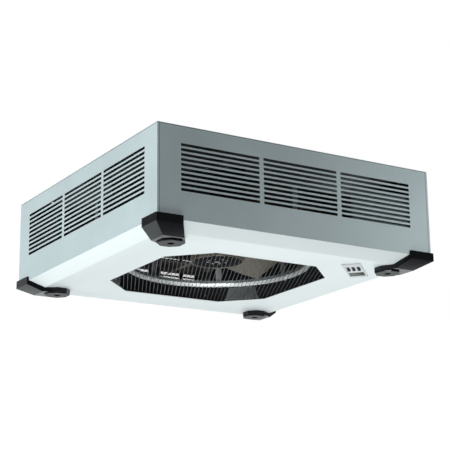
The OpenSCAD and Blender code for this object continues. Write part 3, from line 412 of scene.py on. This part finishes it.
# %% Paint the plain pieces
plain = {
    casing_paint: ["top_plate", "side_front", "side_right", "side_back", "side_left"],
    # The dark zinc copy on these sheets inside the casing is painted shade.
    zinc_painted_shade: ["corner_plate_front_right", "box_lid", "element_brackets_front",
                "element_brackets_right", "element_brackets_back", "element_brackets_left"],
    zinc_sheet: ["guard_bracket_front_left", "guard_bracket_front_right", "guard_bracket_back_right",
                 "guard_bracket_back_left", "fan_ring"],
    # Black is the fan deck's own paint; on these three corner plates it is painted shade.
    black_deck_and_shade: ["fan_deck", "corner_plate_front_left", "corner_plate_back_right",
                 "corner_plate_back_left"],
    zinc_bright: ["casing_screws", "panel_standoffs", "deck_screws", "motor_screws"],
    black_steel: ["standoff_screws"],
    wire_paint: ["motor_basket"],
    ground_steel: ["motor_shaft", "bearing_upper", "bearing_lower"],
    plate_alloy: ["stator_housing", "rotor_ring", "control_plate"],
    core_steel: ["stator_core"],
    copper_wire: ["stator_windings"],
    can_paint: ["rotor_can"],
    blade_alloy_shaded: ["impeller"],
    guard_wire_lit: ["outlet_guard"],
    element_steel: ["element_front", "element_right", "element_back", "element_left"],
    cap_plastic: ["corner_cap_front_left", "corner_cap_front_right", "corner_cap_back_right",
                  "corner_cap_back_left"],
    panel_paint: ["bottom_panel"],
    pale_plastic: ["terminal_block", "contactor", "motor_capacitor", "switch_housings"],
    brass: ["terminal_screws"],
    brown_plastic: ["thermal_cutout"],
    red_plastic: ["reset_button"],
    rubber: ["cable_grommet"],
    dark_plastic: ["cable_gland"],
    rocker_plastic: ["rocker_fan", "rocker_low_heat", "rocker_high_heat"],
    window_tint: ["indicator_window"],
    board_green: ["indicator_board"],
}
for material, names in plain.items():
    for name in names:
        nodes[name].data.materials.clear()
        nodes[name].data.materials.append(material)
print("painted", sum(len(names) for names in plain.values()), "pieces")

# %% [markdown]
# ## Forms made again
# Plain solids are right for collision, but some pieces show finer work: the guard's crossing wires, the
# pressed blades, the rolled lip of the ring and the spiral fins of the elements. Each follows the same few
# sizes as its solid and stays inside its box.

# %% Helper: outlines and turned forms
def octagon(grow=0.0):
    """The outlet's outline, grown outwards: two points at each side, turned four times."""
    a = OPENING_W / 2 + grow
    c = OPENING_CUT + grow * (2 - math.sqrt(2))
    turns = [Matrix.Rotation(math.radians(90 * i), 2) for i in range(4)]
    return [turn @ Vector((a, y)) for turn in turns for y in (c - a, a - c)]

def mesh_object(name, points, faces, material, degrees=35):
    mesh = bpy.data.meshes.new(name)
    mesh.from_pydata([tuple(p) for p in points], [], faces)
    mesh.update()
    smooth_by_angle(mesh, degrees)
    return new_object(name, mesh, material)

def frame_plate(name, inner, outer, low, high, material):
    """A flat plate between two outlines with the same number of points."""
    n = len(inner)
    points = [(p.x, p.y, z) for z in (low, high) for ring in (inner, outer) for p in ring]
    faces = []
    for i in range(n):
        j = (i + 1) % n
        faces += [(i, j, n + j, n + i), (2 * n + i, 3 * n + i, 3 * n + j, 2 * n + j),
                  (i, 2 * n + i, 2 * n + j, j), (n + i, n + j, 3 * n + j, 3 * n + i)]
    return mesh_object(name, points, faces, material)

def turned(name, profile, material, steps=160, degrees=30):
    """A closed profile of (radius, height) points turned about the heater's middle."""
    n = len(profile)
    points = []
    for s in range(steps):
        angle = 2 * math.pi * s / steps
        points += [(r * math.cos(angle), r * math.sin(angle), z) for r, z in profile]
    faces = []
    for s in range(steps):
        t = (s + 1) % steps
        faces += [(s * n + i, t * n + i, t * n + (i + 1) % n, s * n + (i + 1) % n) for i in range(n)]
    return mesh_object(name, points, faces, material, degrees)

def joined(name, *pieces):
    """One object from several, with their finishes kept."""
    with bpy.context.temp_override(active_object=pieces[0], selected_editable_objects=list(pieces)):
        bpy.ops.object.join()
    pieces[0].name = name
    return pieces[0]

def arc(middle, radius, start, end, steps):
    """Points along an arc in a (radius, height) profile, angles in degrees."""
    turns = [math.radians(start + (end - start) * i / steps) for i in range(steps + 1)]
    return [(middle[0] + radius * math.cos(t), middle[1] + radius * math.sin(t)) for t in turns]

# %% [markdown]
# ### The outlet guard
# Two layers of parallel wires cross, each at one angle to the front wall. Each wire is an endless line at
# first. The outlet has four pairs of parallel sides, and each pair leaves a stretch of the line between
# them. The wire's ends are the latest start and the earliest end of the four stretches. The same tree is
# grown twice, because the light only catches one layer of the mesh. The lit layer's lighter colour is
# painted light, and the other layer's near black is painted shade.

# %% Helper: one layer of the guard's wires
FAR_AWAY = 10.0
SHORTEST_WIRE = 2 * MM

def wire_layer(tree):
    """One layer of wires, each cut to its length by the outlet's four pairs of sides."""
    angle = tree["Angle"]
    along = tree.vector(tree.math("COSINE", angle), tree.math("SINE", angle))
    across = tree.vector(tree.math("MULTIPLY", tree.math("SINE", angle), -1.0), tree.math("COSINE", angle))
    step = tree.math("MULTIPLY", tree["Pitch"], tree.math("ABSOLUTE", tree.math("SINE", angle)))
    half = tree["Half count"]
    start = tree.scaled(across, tree.math("MULTIPLY", tree.math("MULTIPLY", step, half), -1.0))
    line = tree.node("GeometryNodeMeshLine", Count=tree.math("MULTIPLY_ADD", half, 2.0, 1.0),
                     Start_Location=start, Offset=tree.scaled(across, step))
    place = tree.node("GeometryNodeInputPosition").outputs[0]
    low, high = -FAR_AWAY, FAR_AWAY
    for turn in (0, 45, 90, 135):
        side = (math.cos(math.radians(turn)), math.sin(math.radians(turn)), 0)
        half_width = tree["Flats"] if turn % 90 == 0 else tree["Corners"]
        slope = tree.dot(along, side)
        middle = tree.math("DIVIDE", tree.math("MULTIPLY", tree.dot(place, side), -1.0), slope)
        reach = tree.math("ABSOLUTE", tree.math("DIVIDE", half_width, slope))
        low = tree.math("MAXIMUM", low, tree.math("SUBTRACT", middle, reach))
        high = tree.math("MINIMUM", high, tree.math("ADD", middle, reach))
    length = tree.math("SUBTRACT", high, low)
    centre = tree.math("MULTIPLY", tree.math("ADD", high, low), 0.5)
    moved = tree.node("GeometryNodeSetPosition", Geometry=line.outputs[0],
                      Offset=tree.added(tree.scaled(along, centre), tree.vector(z=tree["Height"])))
    wire = tree.node("GeometryNodeMeshCylinder", Vertices=6, Radius=tree["Wire radius"], Depth=1.0)
    turned_to = tree.node("FunctionNodeEulerToRotation", Euler=tree.vector(0.0, math.pi / 2, angle))
    return tree.node("GeometryNodeInstanceOnPoints", Points=moved.outputs[0],
                     Selection=tree.math("GREATER_THAN", length, SHORTEST_WIRE), Instance=wire.outputs[0],
                     Rotation=turned_to.outputs[0], Scale=tree.vector(1.0, 1.0, length)).outputs[0]

# %% Grow the guard's wires
GUARD_BORDER = 9 * MM
BORDER_START = 0.8 * MM
BORDER_SHEET = 1.0 * MM
WIRE_SHORT = 0.5 * MM
inner_flats = OPENING_W / 2 + GUARD_BORDER - WIRE_SHORT
inner_corners = (OPENING_W - OPENING_CUT) / math.sqrt(2) + GUARD_BORDER - WIRE_SHORT
WIRE_R = 0.6 * MM
DARK_WIRE_R = 0.4 * MM
STRAND_TURN = math.radians(63.4)
wires = Tree("guard_wires", Pitch=8.7 * MM, Angle=STRAND_TURN, Height=guard_high.z - WIRE_R, Half_count=34,
             Wire_radius=WIRE_R, Flats=inner_flats, Corners=inner_corners, Finish=guard_wire_lit)
wires.finish(wire_layer(wires), wires["Finish"])
light_wires = wires.grow("guard_wires_light")
# The second layer is near black: painted shade.
dark_wires = wires.grow("guard_wires_dark", **{
    "Angle": math.pi - STRAND_TURN, "Height": guard_low.z + BORDER_SHEET + WIRE_R,
    "Wire radius": DARK_WIRE_R, "Finish": guard_wire_shade_black})

# %% Frame the guard
border = frame_plate("guard_border", octagon(BORDER_START), octagon(GUARD_BORDER), guard_low.z,
                     guard_low.z + BORDER_SHEET, guard_wire_shade_black)
guard = keep(joined("guard", border, light_wires, dark_wires), "housing", "outlet_guard")
print("guard:", len(guard.data.polygons), "faces in its border and both layers")

# %% [markdown]
# ### The fan
# A blade is a sheet on a large cylinder, pitched about its own length. The grid below is laid on that
# cylinder point by point. The root and tip edges are arcs about the shaft, so the blade meets the hub and
# keeps an even gap to the ring. A shallow bead stiffens the sheet, as on most pressed blades.

# %% Helper: where a blade's points lie
HUB_R = can_high.x + 3 * MM
BLADE_MIDDLE = (can_low.z + can_high.z) / 2 - 4 * MM

def blade_place(tree, across, out):
    """The place on the pitched cylinder at a distance across the blade and a radius from the shaft."""
    pitch_sin = tree.math("SINE", tree["Pitch"])
    pitch_cos = tree.math("COSINE", tree["Pitch"])
    flat = tree.math("DIVIDE", across, pitch_cos)
    for _ in range(2):
        curve = tree.math("SQRT", tree.math("SUBTRACT", tree.math("POWER", tree["Camber"], 2.0),
                                            tree.math("POWER", flat, 2.0)))
        sag = tree.math("SUBTRACT", curve, tree["Camber"])
        flat = tree.math("DIVIDE", tree.math("MULTIPLY_ADD", sag, pitch_sin, across), pitch_cos)
    height = tree.math("ADD", tree.math("MULTIPLY", flat, pitch_sin), tree.math("MULTIPLY", sag, pitch_cos))
    forward = tree.math("SQRT", tree.math("SUBTRACT", tree.math("POWER", out, 2.0),
                                          tree.math("POWER", across, 2.0)))
    return forward, tree.math("ADD", height, BLADE_MIDDLE)

# %% Helper: one blade
ROOT_HALF_WIDTH, WIDENING, SWEEP = 33 * MM, 21 * MM, 10 * MM
BEAD_SHARPNESS, BEAD_CENTRE, BEAD_FULL, BEAD_END = 7.0, 0.48, 0.28, 0.40

def one_blade(tree):
    grid = tree.node("GeometryNodeMeshGrid", Size_X=1.0, Size_Y=1.0, Vertices_X=48, Vertices_Y=26)
    spot = tree.node("ShaderNodeSeparateXYZ", Vector=tree.node("GeometryNodeInputPosition").outputs[0])
    along = tree.math("ADD", spot.outputs[0], 0.5)
    side = tree.math("MULTIPLY", spot.outputs[1], 2.0)
    width = tree.math("MULTIPLY_ADD", along, WIDENING, ROOT_HALF_WIDTH)
    swept = tree.math("MULTIPLY", tree.math("POWER", along, 2.0), SWEEP)
    across = tree.math("MULTIPLY_ADD", side, width, swept)
    span = tree.math("SUBTRACT", tree["Tip radius"], tree["Root radius"])
    out = tree.math("MULTIPLY_ADD", along, span, tree["Root radius"])
    forward, height = blade_place(tree, across, out)
    spread = tree.math("POWER", tree.math("MULTIPLY", side, BEAD_SHARPNESS), 2.0)
    ridge = tree.math("EXPONENT", tree.math("MULTIPLY", spread, -1.0))
    from_centre = tree.math("ABSOLUTE", tree.math("SUBTRACT", along, BEAD_CENTRE))
    fade = tree.node("ShaderNodeMapRange", {"interpolation_type": "SMOOTHSTEP"}, s0=from_centre,
                     s1=BEAD_FULL, s2=BEAD_END, s3=1.0, s4=0.0).outputs[0]
    bead = tree.math("MULTIPLY", tree.math("MULTIPLY", ridge, fade), tree["Bead"])
    back = tree.math("MULTIPLY", across, -1.0)
    laid = tree.node("GeometryNodeSetPosition", Geometry=grid.outputs[0],
                     Position=tree.vector(forward, back, tree.math("ADD", height, bead)))
    normal = tree.node("GeometryNodeInputNormal").outputs[0]
    lowered = tree.node("GeometryNodeSetPosition", Geometry=laid.outputs[0],
                        Offset=tree.scaled(normal, tree.math("MULTIPLY", tree["Sheet"], -0.5)))
    raised = tree.node("GeometryNodeExtrudeMesh", Mesh=lowered.outputs[0], Offset_Scale=tree["Sheet"],
                       Individual=False)
    under = tree.node("GeometryNodeFlipFaces", Mesh=lowered.outputs[0])
    both = tree.node("GeometryNodeJoinGeometry")
    tree.group.links.new(raised.outputs[0], both.inputs[0])
    tree.group.links.new(under.outputs[0], both.inputs[0])
    return tree.node("GeometryNodeMergeByDistance", Geometry=both.outputs[0],
                     Distance=MERGE_DISTANCE).outputs[0]

# %% Helper: rivets, and copies about the shaft
RIVET_STEP, RIVET_DROP, RIVET_R = 19 * MM, 6 * MM, 2.6 * MM

def rivets(tree):
    """Three round rivet heads beside a blade's root."""
    spots = tree.node("GeometryNodeMeshLine", Count=3, Start_Location=(0, -1, 0),
                      Offset=(0, 1, 0)).outputs[0]
    spot = tree.node("ShaderNodeSeparateXYZ", Vector=tree.node("GeometryNodeInputPosition").outputs[0])
    across = tree.math("MULTIPLY", spot.outputs[1], RIVET_STEP)
    forward, height = blade_place(tree, across, tree["Root radius"])
    laid = tree.node("GeometryNodeSetPosition", Geometry=spots, Position=tree.vector(
        forward, tree.math("MULTIPLY", across, -1.0), tree.math("SUBTRACT", height, RIVET_DROP)))
    head = tree.node("GeometryNodeMeshUVSphere", Segments=14, Rings=8, Radius=RIVET_R).outputs[0]
    return tree.node("GeometryNodeInstanceOnPoints", Points=laid.outputs[0], Instance=head).outputs[0]

def around(tree, geometry, count, start):
    """Copies of a form, evenly turned about the shaft."""
    spots = tree.node("GeometryNodeMeshLine", Count=count, Offset=(0, 0, 0)).outputs[0]
    index = tree.node("GeometryNodeInputIndex").outputs[0]
    angle = tree.math("ADD", tree.math("DIVIDE", tree.math("MULTIPLY", index, 2 * math.pi), count), start)
    turn = tree.node("FunctionNodeEulerToRotation", Euler=tree.vector(z=angle)).outputs[0]
    return tree.node("GeometryNodeInstanceOnPoints", Points=spots, Instance=geometry,
                     Rotation=turn).outputs[0]

# %% Grow the blades
blades = Tree("fan_blades", Count=5, First_turn=math.radians(15), Root_radius=HUB_R - 0.6 * MM,
              Tip_radius=FAN_R - 0.2 * MM, Pitch=math.radians(22), Camber=260 * MM, Sheet=1.8 * MM,
              Bead=1.6 * MM, Finish=blade_alloy_shaded)
parts = blades.node("GeometryNodeJoinGeometry")
for part in (one_blade(blades), rivets(blades)):
    blades.group.links.new(part, parts.inputs[0])
all_blades = around(blades, parts.outputs[0], blades["Count"], blades["First turn"])
blades.finish(all_blades, blades["Finish"])
fan_blades = blades.grow("fan_blades")
smooth_by_angle(fan_blades.data, 40)
fan_blades.data.materials.append(blade_rim_highlight)
# The steep faces of the blades and rivets take the bright copy: painted highlight.
STEEP = 0.5
rims = [face for face in fan_blades.data.polygons if abs(face.normal.z) < STEEP]
for face in rims:
    face.material_index = 1
print("fan blades:", len(rims), "faces on the sheared edges and rivets are bright")

# %% Turn the hub
HUB_HEIGHT = 52 * MM
hub_low, hub_high = can_low.z, can_low.z + HUB_HEIGHT
hub = turned("fan_hub", [(HUB_R - 2.9 * MM, hub_low + 0.4 * MM), (HUB_R - 2.4 * MM, hub_low),
                         (HUB_R - 0.5 * MM, hub_low), (HUB_R, hub_low + 0.6 * MM),
                         (HUB_R, hub_low + 5 * MM), (HUB_R - 0.7 * MM, hub_low + 6 * MM),
                         (HUB_R - 0.7 * MM, hub_high - 1.0 * MM), (HUB_R - 1.2 * MM, hub_high),
                         (HUB_R - 2.9 * MM, hub_high)], blade_alloy_shaded, steps=128)
wheel = keep(joined("fan_wheel", fan_blades, hub), "fan", "impeller")
print("fan wheel:", len(wheel.data.polygons), "faces, hub", round(HUB_R / MM), "mm in radius")

# %% [markdown]
# ### Motor and ring
# The rotor can is a drawn cup. Its edge is rolled, and its bottom has two pressed rings and eight round
# heads. The ring's lip is one smooth roll of sheet metal. Both are profiles turned about the shaft.

# %% Turn the rotor can
def rotor_profile():
    """The can's outside, its pressed bottom, and a thin wall inside."""
    r, low, high = can_high.x, can_low.z, can_high.z
    bore = 6.1 * MM
    outside = [(bore, low + 0.6 * MM), (bore + 1.5 * MM, low + 0.2 * MM), (13 * MM, low + 0.2 * MM),
               (14.5 * MM, low + 1.4 * MM), (24 * MM, low + 1.4 * MM), (25.5 * MM, low + 0.2 * MM),
               (33 * MM, low + 0.2 * MM), (34 * MM, low + 1.1 * MM), (36 * MM, low + 1.1 * MM),
               (37 * MM, low + 0.1 * MM)]
    outside += arc((r - 4 * MM, low + 4 * MM), 4 * MM, -90, 0, 6)
    inside = [(r, high - 1 * MM), (r - 0.6 * MM, high), (r - 2.4 * MM, high), (r - 2.9 * MM, high - 1 * MM),
              (r - 2.9 * MM, low + 5.9 * MM), (r - 5.4 * MM, low + 2.9 * MM), (bore, low + 2.9 * MM)]
    return outside + inside

can = turned("can", rotor_profile(), can_paint, steps=128, degrees=24)

def round_heads(count, radius, size, height, flatness=0.35):
    """Shallow round heads in the can's pressed ring."""
    made = []
    for i in range(count):
        angle = 2 * math.pi * i / count
        bpy.ops.mesh.primitive_uv_sphere_add(segments=16, ring_count=8, radius=size)
        head = bpy.context.object
        head.data.transform(Matrix.Translation((radius * math.cos(angle), radius * math.sin(angle), height))
                            @ Matrix.Diagonal((1, 1, flatness, 1)))
        head.data.materials.append(zinc_bright)
        smooth_by_angle(head.data, 60)
        made.append(head)
    return made

heads = round_heads(8, radius=19.3 * MM, size=2.4 * MM, height=can_low.z + 1.4 * MM)
keep(joined("rotor_shell", can, *heads), "fan", "rotor_can")
print("rotor can:", len(heads), "round heads in its pressed ring")

# %% Turn the ring
ring_low, ring_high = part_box("fan_ring")
RING_R = 176 * MM
BEAD_R = 6.5 * MM
RING_SHEET = 1.2 * MM
FOOT_WIDTH, FOOT_RISE = 17 * MM, 2.2 * MM
bead_z = ring_low.z + BEAD_R
foot_top = bead_z + FOOT_RISE
foot_out = RING_R + 2 * BEAD_R + FOOT_WIDTH - RING_SHEET
bead_middle = (RING_R + BEAD_R, bead_z)
ring_profile = (
    arc(bead_middle, BEAD_R, 180, 360, 20)
    + [(RING_R + 2 * BEAD_R, foot_top - RING_SHEET), (foot_out, foot_top - RING_SHEET),
       (foot_out, foot_top), (RING_R + 2 * BEAD_R - RING_SHEET, foot_top)]
    + arc(bead_middle, BEAD_R - RING_SHEET, 0, -180, 18)
    + [(RING_R + RING_SHEET, ring_high.z), (RING_R, ring_high.z)])
ring = turned("ring_roll", ring_profile, ring_zinc, steps=256, degrees=40)
# The collar takes the dark zinc copy, painted shade; the rolled lip keeps the bright copy, painted light.
ring.data.materials.append(zinc_painted_shade)
collar = [face for face in ring.data.polygons if face.center.z > bead_z + 1 * MM]
for face in collar:
    face.material_index = 1
keep(ring, "housing", "fan_ring")
# Dull and bright here are painted shade and painted light.
print("fan ring:", len(collar), "faces of its collar are dull, its rolled lip is bright")

# %% [markdown]
# ### The heating elements
# A fin is one strip wound round the tube. Its middle follows a spiral, and a flat profile swept along the
# spiral gives the strip. The tube itself is a hairpin: two straight legs and a half turn.

# %% Sizes of an element
element_low, element_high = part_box("element_front")
FIN_R = (element_high.y - element_low.y) / 2
TUBE_R = 4.2 * MM
LEG_LOW = element_low.z + FIN_R
LEG_HIGH = element_high.z - FIN_R
ELEMENT_Y = (element_low.y + element_high.y) / 2
FIN_START, FIN_END = 3.4 * MM, 118 * MM
TUBE_END = 128 * MM
print("element legs at", round(LEG_LOW / MM, 1), "and", round(LEG_HIGH / MM, 1), "mm")

# %% Helper: the wound fins
def wound_fin(tree):
    """A strip wound round one leg over one stretch, along +X from the origin."""
    turns = tree.math("DIVIDE", tree["Stretch"], tree["Fin pitch"])
    middle = tree.math("MULTIPLY", tree.math("ADD", tree["Fin radius"], tree["Tube radius"]), 0.5)
    spiral = tree.node("GeometryNodeCurveSpiral", Resolution=22, Rotations=turns, Start_Radius=middle,
                       End_Radius=middle, Height=tree["Stretch"])
    upright = tree.node("GeometryNodeSetCurveNormal", {"mode": "Z_UP"}, Curve=spiral.outputs[0])
    depth = tree.math("SUBTRACT", tree["Fin radius"], tree["Tube radius"])
    strip = tree.node("GeometryNodeCurvePrimitiveQuadrilateral", Width=depth, Height=tree["Strip"])
    wound = tree.node("GeometryNodeCurveToMesh", Curve=upright.outputs[0],
                      Profile_Curve=strip.outputs[0], Fill_Caps=True)
    laid = tree.node("GeometryNodeTransform", Geometry=wound.outputs[0], Rotation=(0, math.pi / 2, 0))
    return laid.outputs[0]

def leg_fins(tree):
    """The fin's four stretches: two on each leg, on either side of the middle bracket."""
    spots = tree.node("GeometryNodeJoinGeometry")
    for x in (-FIN_END, FIN_START):
        for z in (LEG_LOW, LEG_HIGH):
            spot = tree.node("GeometryNodeMeshLine", Count=1, Start_Location=(x, ELEMENT_Y, z))
            tree.group.links.new(spot.outputs[0], spots.inputs[0])
    return tree.node("GeometryNodeInstanceOnPoints", Points=spots.outputs[0],
                     Instance=wound_fin(tree)).outputs[0]

# %% Helper: the tube and its ends
def hairpin(tree):
    """The tube: two legs joined by half a turn."""
    bend = tree.node("GeometryNodeCurveArc", {"mode": "RADIUS"}, Resolution=24,
                     s4=(LEG_HIGH - LEG_LOW) / 2, s5=math.radians(90), s6=math.radians(180))
    stood = tree.node("GeometryNodeTransform", Geometry=bend.outputs[0], Rotation=(math.pi / 2, 0, 0),
                      Translation=(-TUBE_END, ELEMENT_Y, (LEG_LOW + LEG_HIGH) / 2))
    lines = tree.node("GeometryNodeJoinGeometry")
    tree.group.links.new(stood.outputs[0], lines.inputs[0])
    for z in (LEG_LOW, LEG_HIGH):
        leg = tree.node("GeometryNodeCurvePrimitiveLine", Start=(-TUBE_END, ELEMENT_Y, z),
                        End=(TUBE_END, ELEMENT_Y, z)).outputs[0]
        tree.group.links.new(leg, lines.inputs[0])
    circle = tree.node("GeometryNodeCurvePrimitiveCircle", Resolution=18, Radius=tree["Tube radius"])
    return tree.node("GeometryNodeCurveToMesh", Curve=lines.outputs[0], Profile_Curve=circle.outputs[0],
                     Fill_Caps=True).outputs[0]

def cold_ends(tree):
    """Ceramic bead and pin at the end of each leg."""
    bead = (5.4 * MM, TUBE_END - 1 * MM, 7 * MM)
    pin = (2 * MM, TUBE_END + 5 * MM, 10 * MM)
    ends = tree.node("GeometryNodeJoinGeometry")
    for z in (LEG_LOW, LEG_HIGH):
        for radius, start, length in (bead, pin):
            rod = tree.node("GeometryNodeMeshCylinder", Vertices=20, Radius=radius, Depth=length)
            laid = tree.node("GeometryNodeTransform", Geometry=rod.outputs[0], Rotation=(0, math.pi / 2, 0),
                             Translation=(start + length / 2, ELEMENT_Y, z))
            tree.group.links.new(laid.outputs[0], ends.inputs[0])
    return ends.outputs[0]

# %% Grow the elements
element = Tree("finned_element", Fin_pitch=4.5 * MM, Fin_radius=FIN_R - 0.2 * MM, Tube_radius=TUBE_R,
               Strip=0.5 * MM, Stretch=FIN_END - FIN_START, Finish=element_steel)
pieces = element.node("GeometryNodeJoinGeometry")
for part in (leg_fins(element), hairpin(element), cold_ends(element)):
    element.group.links.new(part, pieces.inputs[0])
element.finish(pieces.outputs[0], element["Finish"])
for i, wall in enumerate(("front", "right", "back", "left")):
    hot = element.grow("element_wound_" + wall)
    hot.data.transform(Matrix.Rotation(math.radians(90 * i), 4, "Z"))
    smooth_by_angle(hot.data, 40)
    keep(hot, "housing", "element_" + wall)

# %% [markdown]
# ### Soft edges
# A folded sheet has a small radius at every fold, and a moulded cap catches a thin line of light along its
# edges. These pieces are copies of their solids with each sharp edge rounded a little. The caps are moulded
# with flat facets that meet at crisp edges, and the pad under each has a duller finish than the rest.

# %% Helper: a corner cap
def pad_face(face, lowest):
    """Whether a face of a cap is the flat underside of its pad."""
    return face.normal.z < -0.9 and face.center.z < lowest + 1 * MM

def soft_cap(name):
    """A corner cap with crisp facets and a duller pad."""
    cap = rounded(name, cap_plastic, 0.5 * MM, angle=14, facets=True)
    cap.data.materials.append(pad_plastic)
    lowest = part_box(name)[0].z
    for face in cap.data.polygons:
        face.material_index = int(pad_face(face, lowest))
    return cap

# %% Round the edges that show
keep(rounded("bottom_panel", panel_paint, 1.1 * MM, segments=3, angle=12), "housing", "bottom_panel")
keep(rounded("control_plate", plate_alloy, 0.35 * MM), "housing", "control_plate")
keep(rounded("indicator_window", window_tint, 0.3 * MM), "housing", "indicator_window")
for corner in ("front_left", "front_right", "back_right", "back_left"):
    keep(soft_cap("corner_cap_" + corner), "housing", "corner_cap_" + corner)
    bracket = "guard_bracket_" + corner
    # The guard brackets take the bright zinc copy: painted light.
    keep(rounded(bracket, ring_zinc, 0.3 * MM), "housing", bracket)
for name in ("rocker_fan", "rocker_low_heat", "rocker_high_heat"):
    keep(rounded(name, rocker_plastic, 0.4 * MM, angle=20), name + "_body", name)

# %% [markdown]
# ## The room
# The heater hangs in front of plain white. For the camera the background is white, but the light that falls
# on the heater is softer: dim all round, with one bright patch below, because the white panel faces down, and
# one behind, which the glossy black caps mirror. A near light on the left and one at the right of the front
# give the walls their slow gradients, and one below lifts the front wall and the panel. A narrow one looks
# into the outlet. Lights can be linked to chosen pieces: the narrow one leaves no spot on the panel, and the
# right one isn't mirrored in the caps.

# %% Background
world = bpy.data.worlds.new("studio")
bpy.context.scene.world = world
world.use_nodes = True
sky = world.node_tree
sky.nodes.clear()

def sky_node(kind, **sockets):
    made = sky.nodes.new(kind)
    for key, value in sockets.items():
        number = key[1:].isdigit()
        socket = made.inputs[int(key[1:]) if number else key.replace("_", " ")]
        if isinstance(value, bpy.types.NodeSocket):
            sky.links.new(value, socket)
        else:
            socket.default_value = value
    return made

SIDE_LIGHT, LOW_LIGHT, BACK_LIGHT = 0.21, 0.92, 1.05
way = sky_node("ShaderNodeTexCoord").outputs["Generated"]

def patch(towards, start, full, strength):
    """A soft round patch of light in the sky around one direction."""
    share = sky_node("ShaderNodeVectorMath", s0=way, s1=Vector(towards).normalized())
    share.operation = "DOT_PRODUCT"
    return sky_node("ShaderNodeMapRange", Value=share.outputs["Value"], From_Min=start, From_Max=full,
                    To_Min=SIDE_LIGHT, To_Max=strength).outputs[0]

low = patch(towards=(-0.30, 0.20, -0.93), start=0.76, full=0.90, strength=LOW_LIGHT)
back = patch(towards=(0.45, 0.85, -0.10), start=0.50, full=0.72, strength=BACK_LIGHT)
brighter = sky_node("ShaderNodeMath", s0=low, s1=back)
brighter.operation = "MAXIMUM"
lit = sky_node("ShaderNodeBackground", Color=(0.93, 0.99, 1.0, 1), Strength=brighter.outputs[0])
white = sky_node("ShaderNodeBackground", Color=(1, 1, 1, 1), Strength=1.0)
seen = sky_node("ShaderNodeMixShader", s0=sky_node("ShaderNodeLightPath").outputs["Is Camera Ray"],
                s1=lit.outputs[0], s2=white.outputs[0])
sky.links.new(seen.outputs[0], sky.nodes.new("ShaderNodeOutputWorld").inputs[0])
bpy.context.scene.view_settings.view_transform = "Standard"
print("sky:", SIDE_LIGHT, "all round,", LOW_LIGHT, "from below,", BACK_LIGHT, "from behind")

# %% [markdown]
# ### The floor
# The photograph looks up, so the room's pale floor is out of its view. It is here for the views from above.
# It glows for the camera, but gives the heater no light and takes none away, because the sky's low patch
# already stands for what a floor throws back.

# %% Floor
ROOM_HEIGHT, FLOOR_SIZE, FLOOR_GLOW = 2.5, 120.0, 0.68
bpy.ops.mesh.primitive_plane_add(size=FLOOR_SIZE, location=(0, 0, -ROOM_HEIGHT))
floor = bpy.context.object
floor.name = "floor"
pale_floor = finish("pale_floor", (0.80, 0.80, 0.79), rough=0.7, spread=0.01, mottle=2, grain=40, bump=0.05)
floor_shader = pale_floor.node_tree.nodes["Principled BSDF"]
floor_shader.inputs["Emission Color"].default_value = (1, 1, 1, 1)
floor_shader.inputs["Emission Strength"].default_value = FLOOR_GLOW
floor.data.materials.append(pale_floor)
floor.visible_diffuse = False
floor.visible_glossy = False
floor.visible_transmission = False
floor.visible_shadow = False
print("floor", FLOOR_SIZE, "m wide,", ROOM_HEIGHT, "m below the ceiling")

# %% Lights
def soft_light(name, at, towards, size, power, colour):
    lamp = bpy.data.lights.new(name, "AREA")
    lamp.shape = "RECTANGLE"
    lamp.size, lamp.size_y = size
    lamp.energy = power
    lamp.color = colour
    piece = bpy.data.objects.new(name, lamp)
    bpy.context.scene.collection.objects.link(piece)
    piece.location = at
    piece.rotation_euler = (Vector(towards) - Vector(at)).to_track_quat("-Z", "Y").to_euler()
    return piece

soft_light("left_window", at=(-2.1, 0.1, -0.1), towards=(-0.3, 0.0, -0.1), size=(1.2, 1.0), power=31,
           colour=(0.93, 1, 1))
right_window = soft_light("right_window", at=(1.3, -1.2, 0.15), towards=(0.3, -0.3, -0.1),
                          size=(0.7, 0.7), power=3, colour=(0.93, 1, 1))
soft_light("low_window", at=(-0.1, -0.75, -1.9), towards=(0.0, -0.25, -0.18), size=(0.6, 0.6), power=15,
           colour=(0.95, 1, 1))
print("soft lights:", len(bpy.data.lights))

# %% The narrow light
OUTLET_SPOT = Vector((0.05, 0.085, -0.188))
BEAM_FLATNESS = 0.4
spot = bpy.data.lights.new("look_in", "SPOT")
spot.energy = 420
spot.spot_size = math.radians(10)
spot.spot_blend = 0.6
spot.shadow_soft_size = 0.08
look_in = bpy.data.objects.new("look_in", spot)
bpy.context.scene.collection.objects.link(look_in)
look_in.location = (-0.9, -1.5, -1.0)
look_in.scale = (1.0, BEAM_FLATNESS, 1.0)
look_in.rotation_euler = (OUTLET_SPOT - look_in.location).to_track_quat("-Z", "Y").to_euler()

# %% Which pieces a light reaches
def lights_all_but(lamp, *left_out):
    """Links a light to every piece but those whose name holds one of these words."""
    lit_pieces = bpy.data.collections.new(lamp.name + "_pieces")
    for piece in bpy.context.scene.objects:
        if piece.type == "MESH" and not any(word in piece.name for word in left_out):
            lit_pieces.objects.link(piece)
    lamp.light_linking.receiver_collection = lit_pieces

lights_all_but(look_in, "guard", "panel", "corner_cap")
lights_all_but(right_window, "corner_cap")
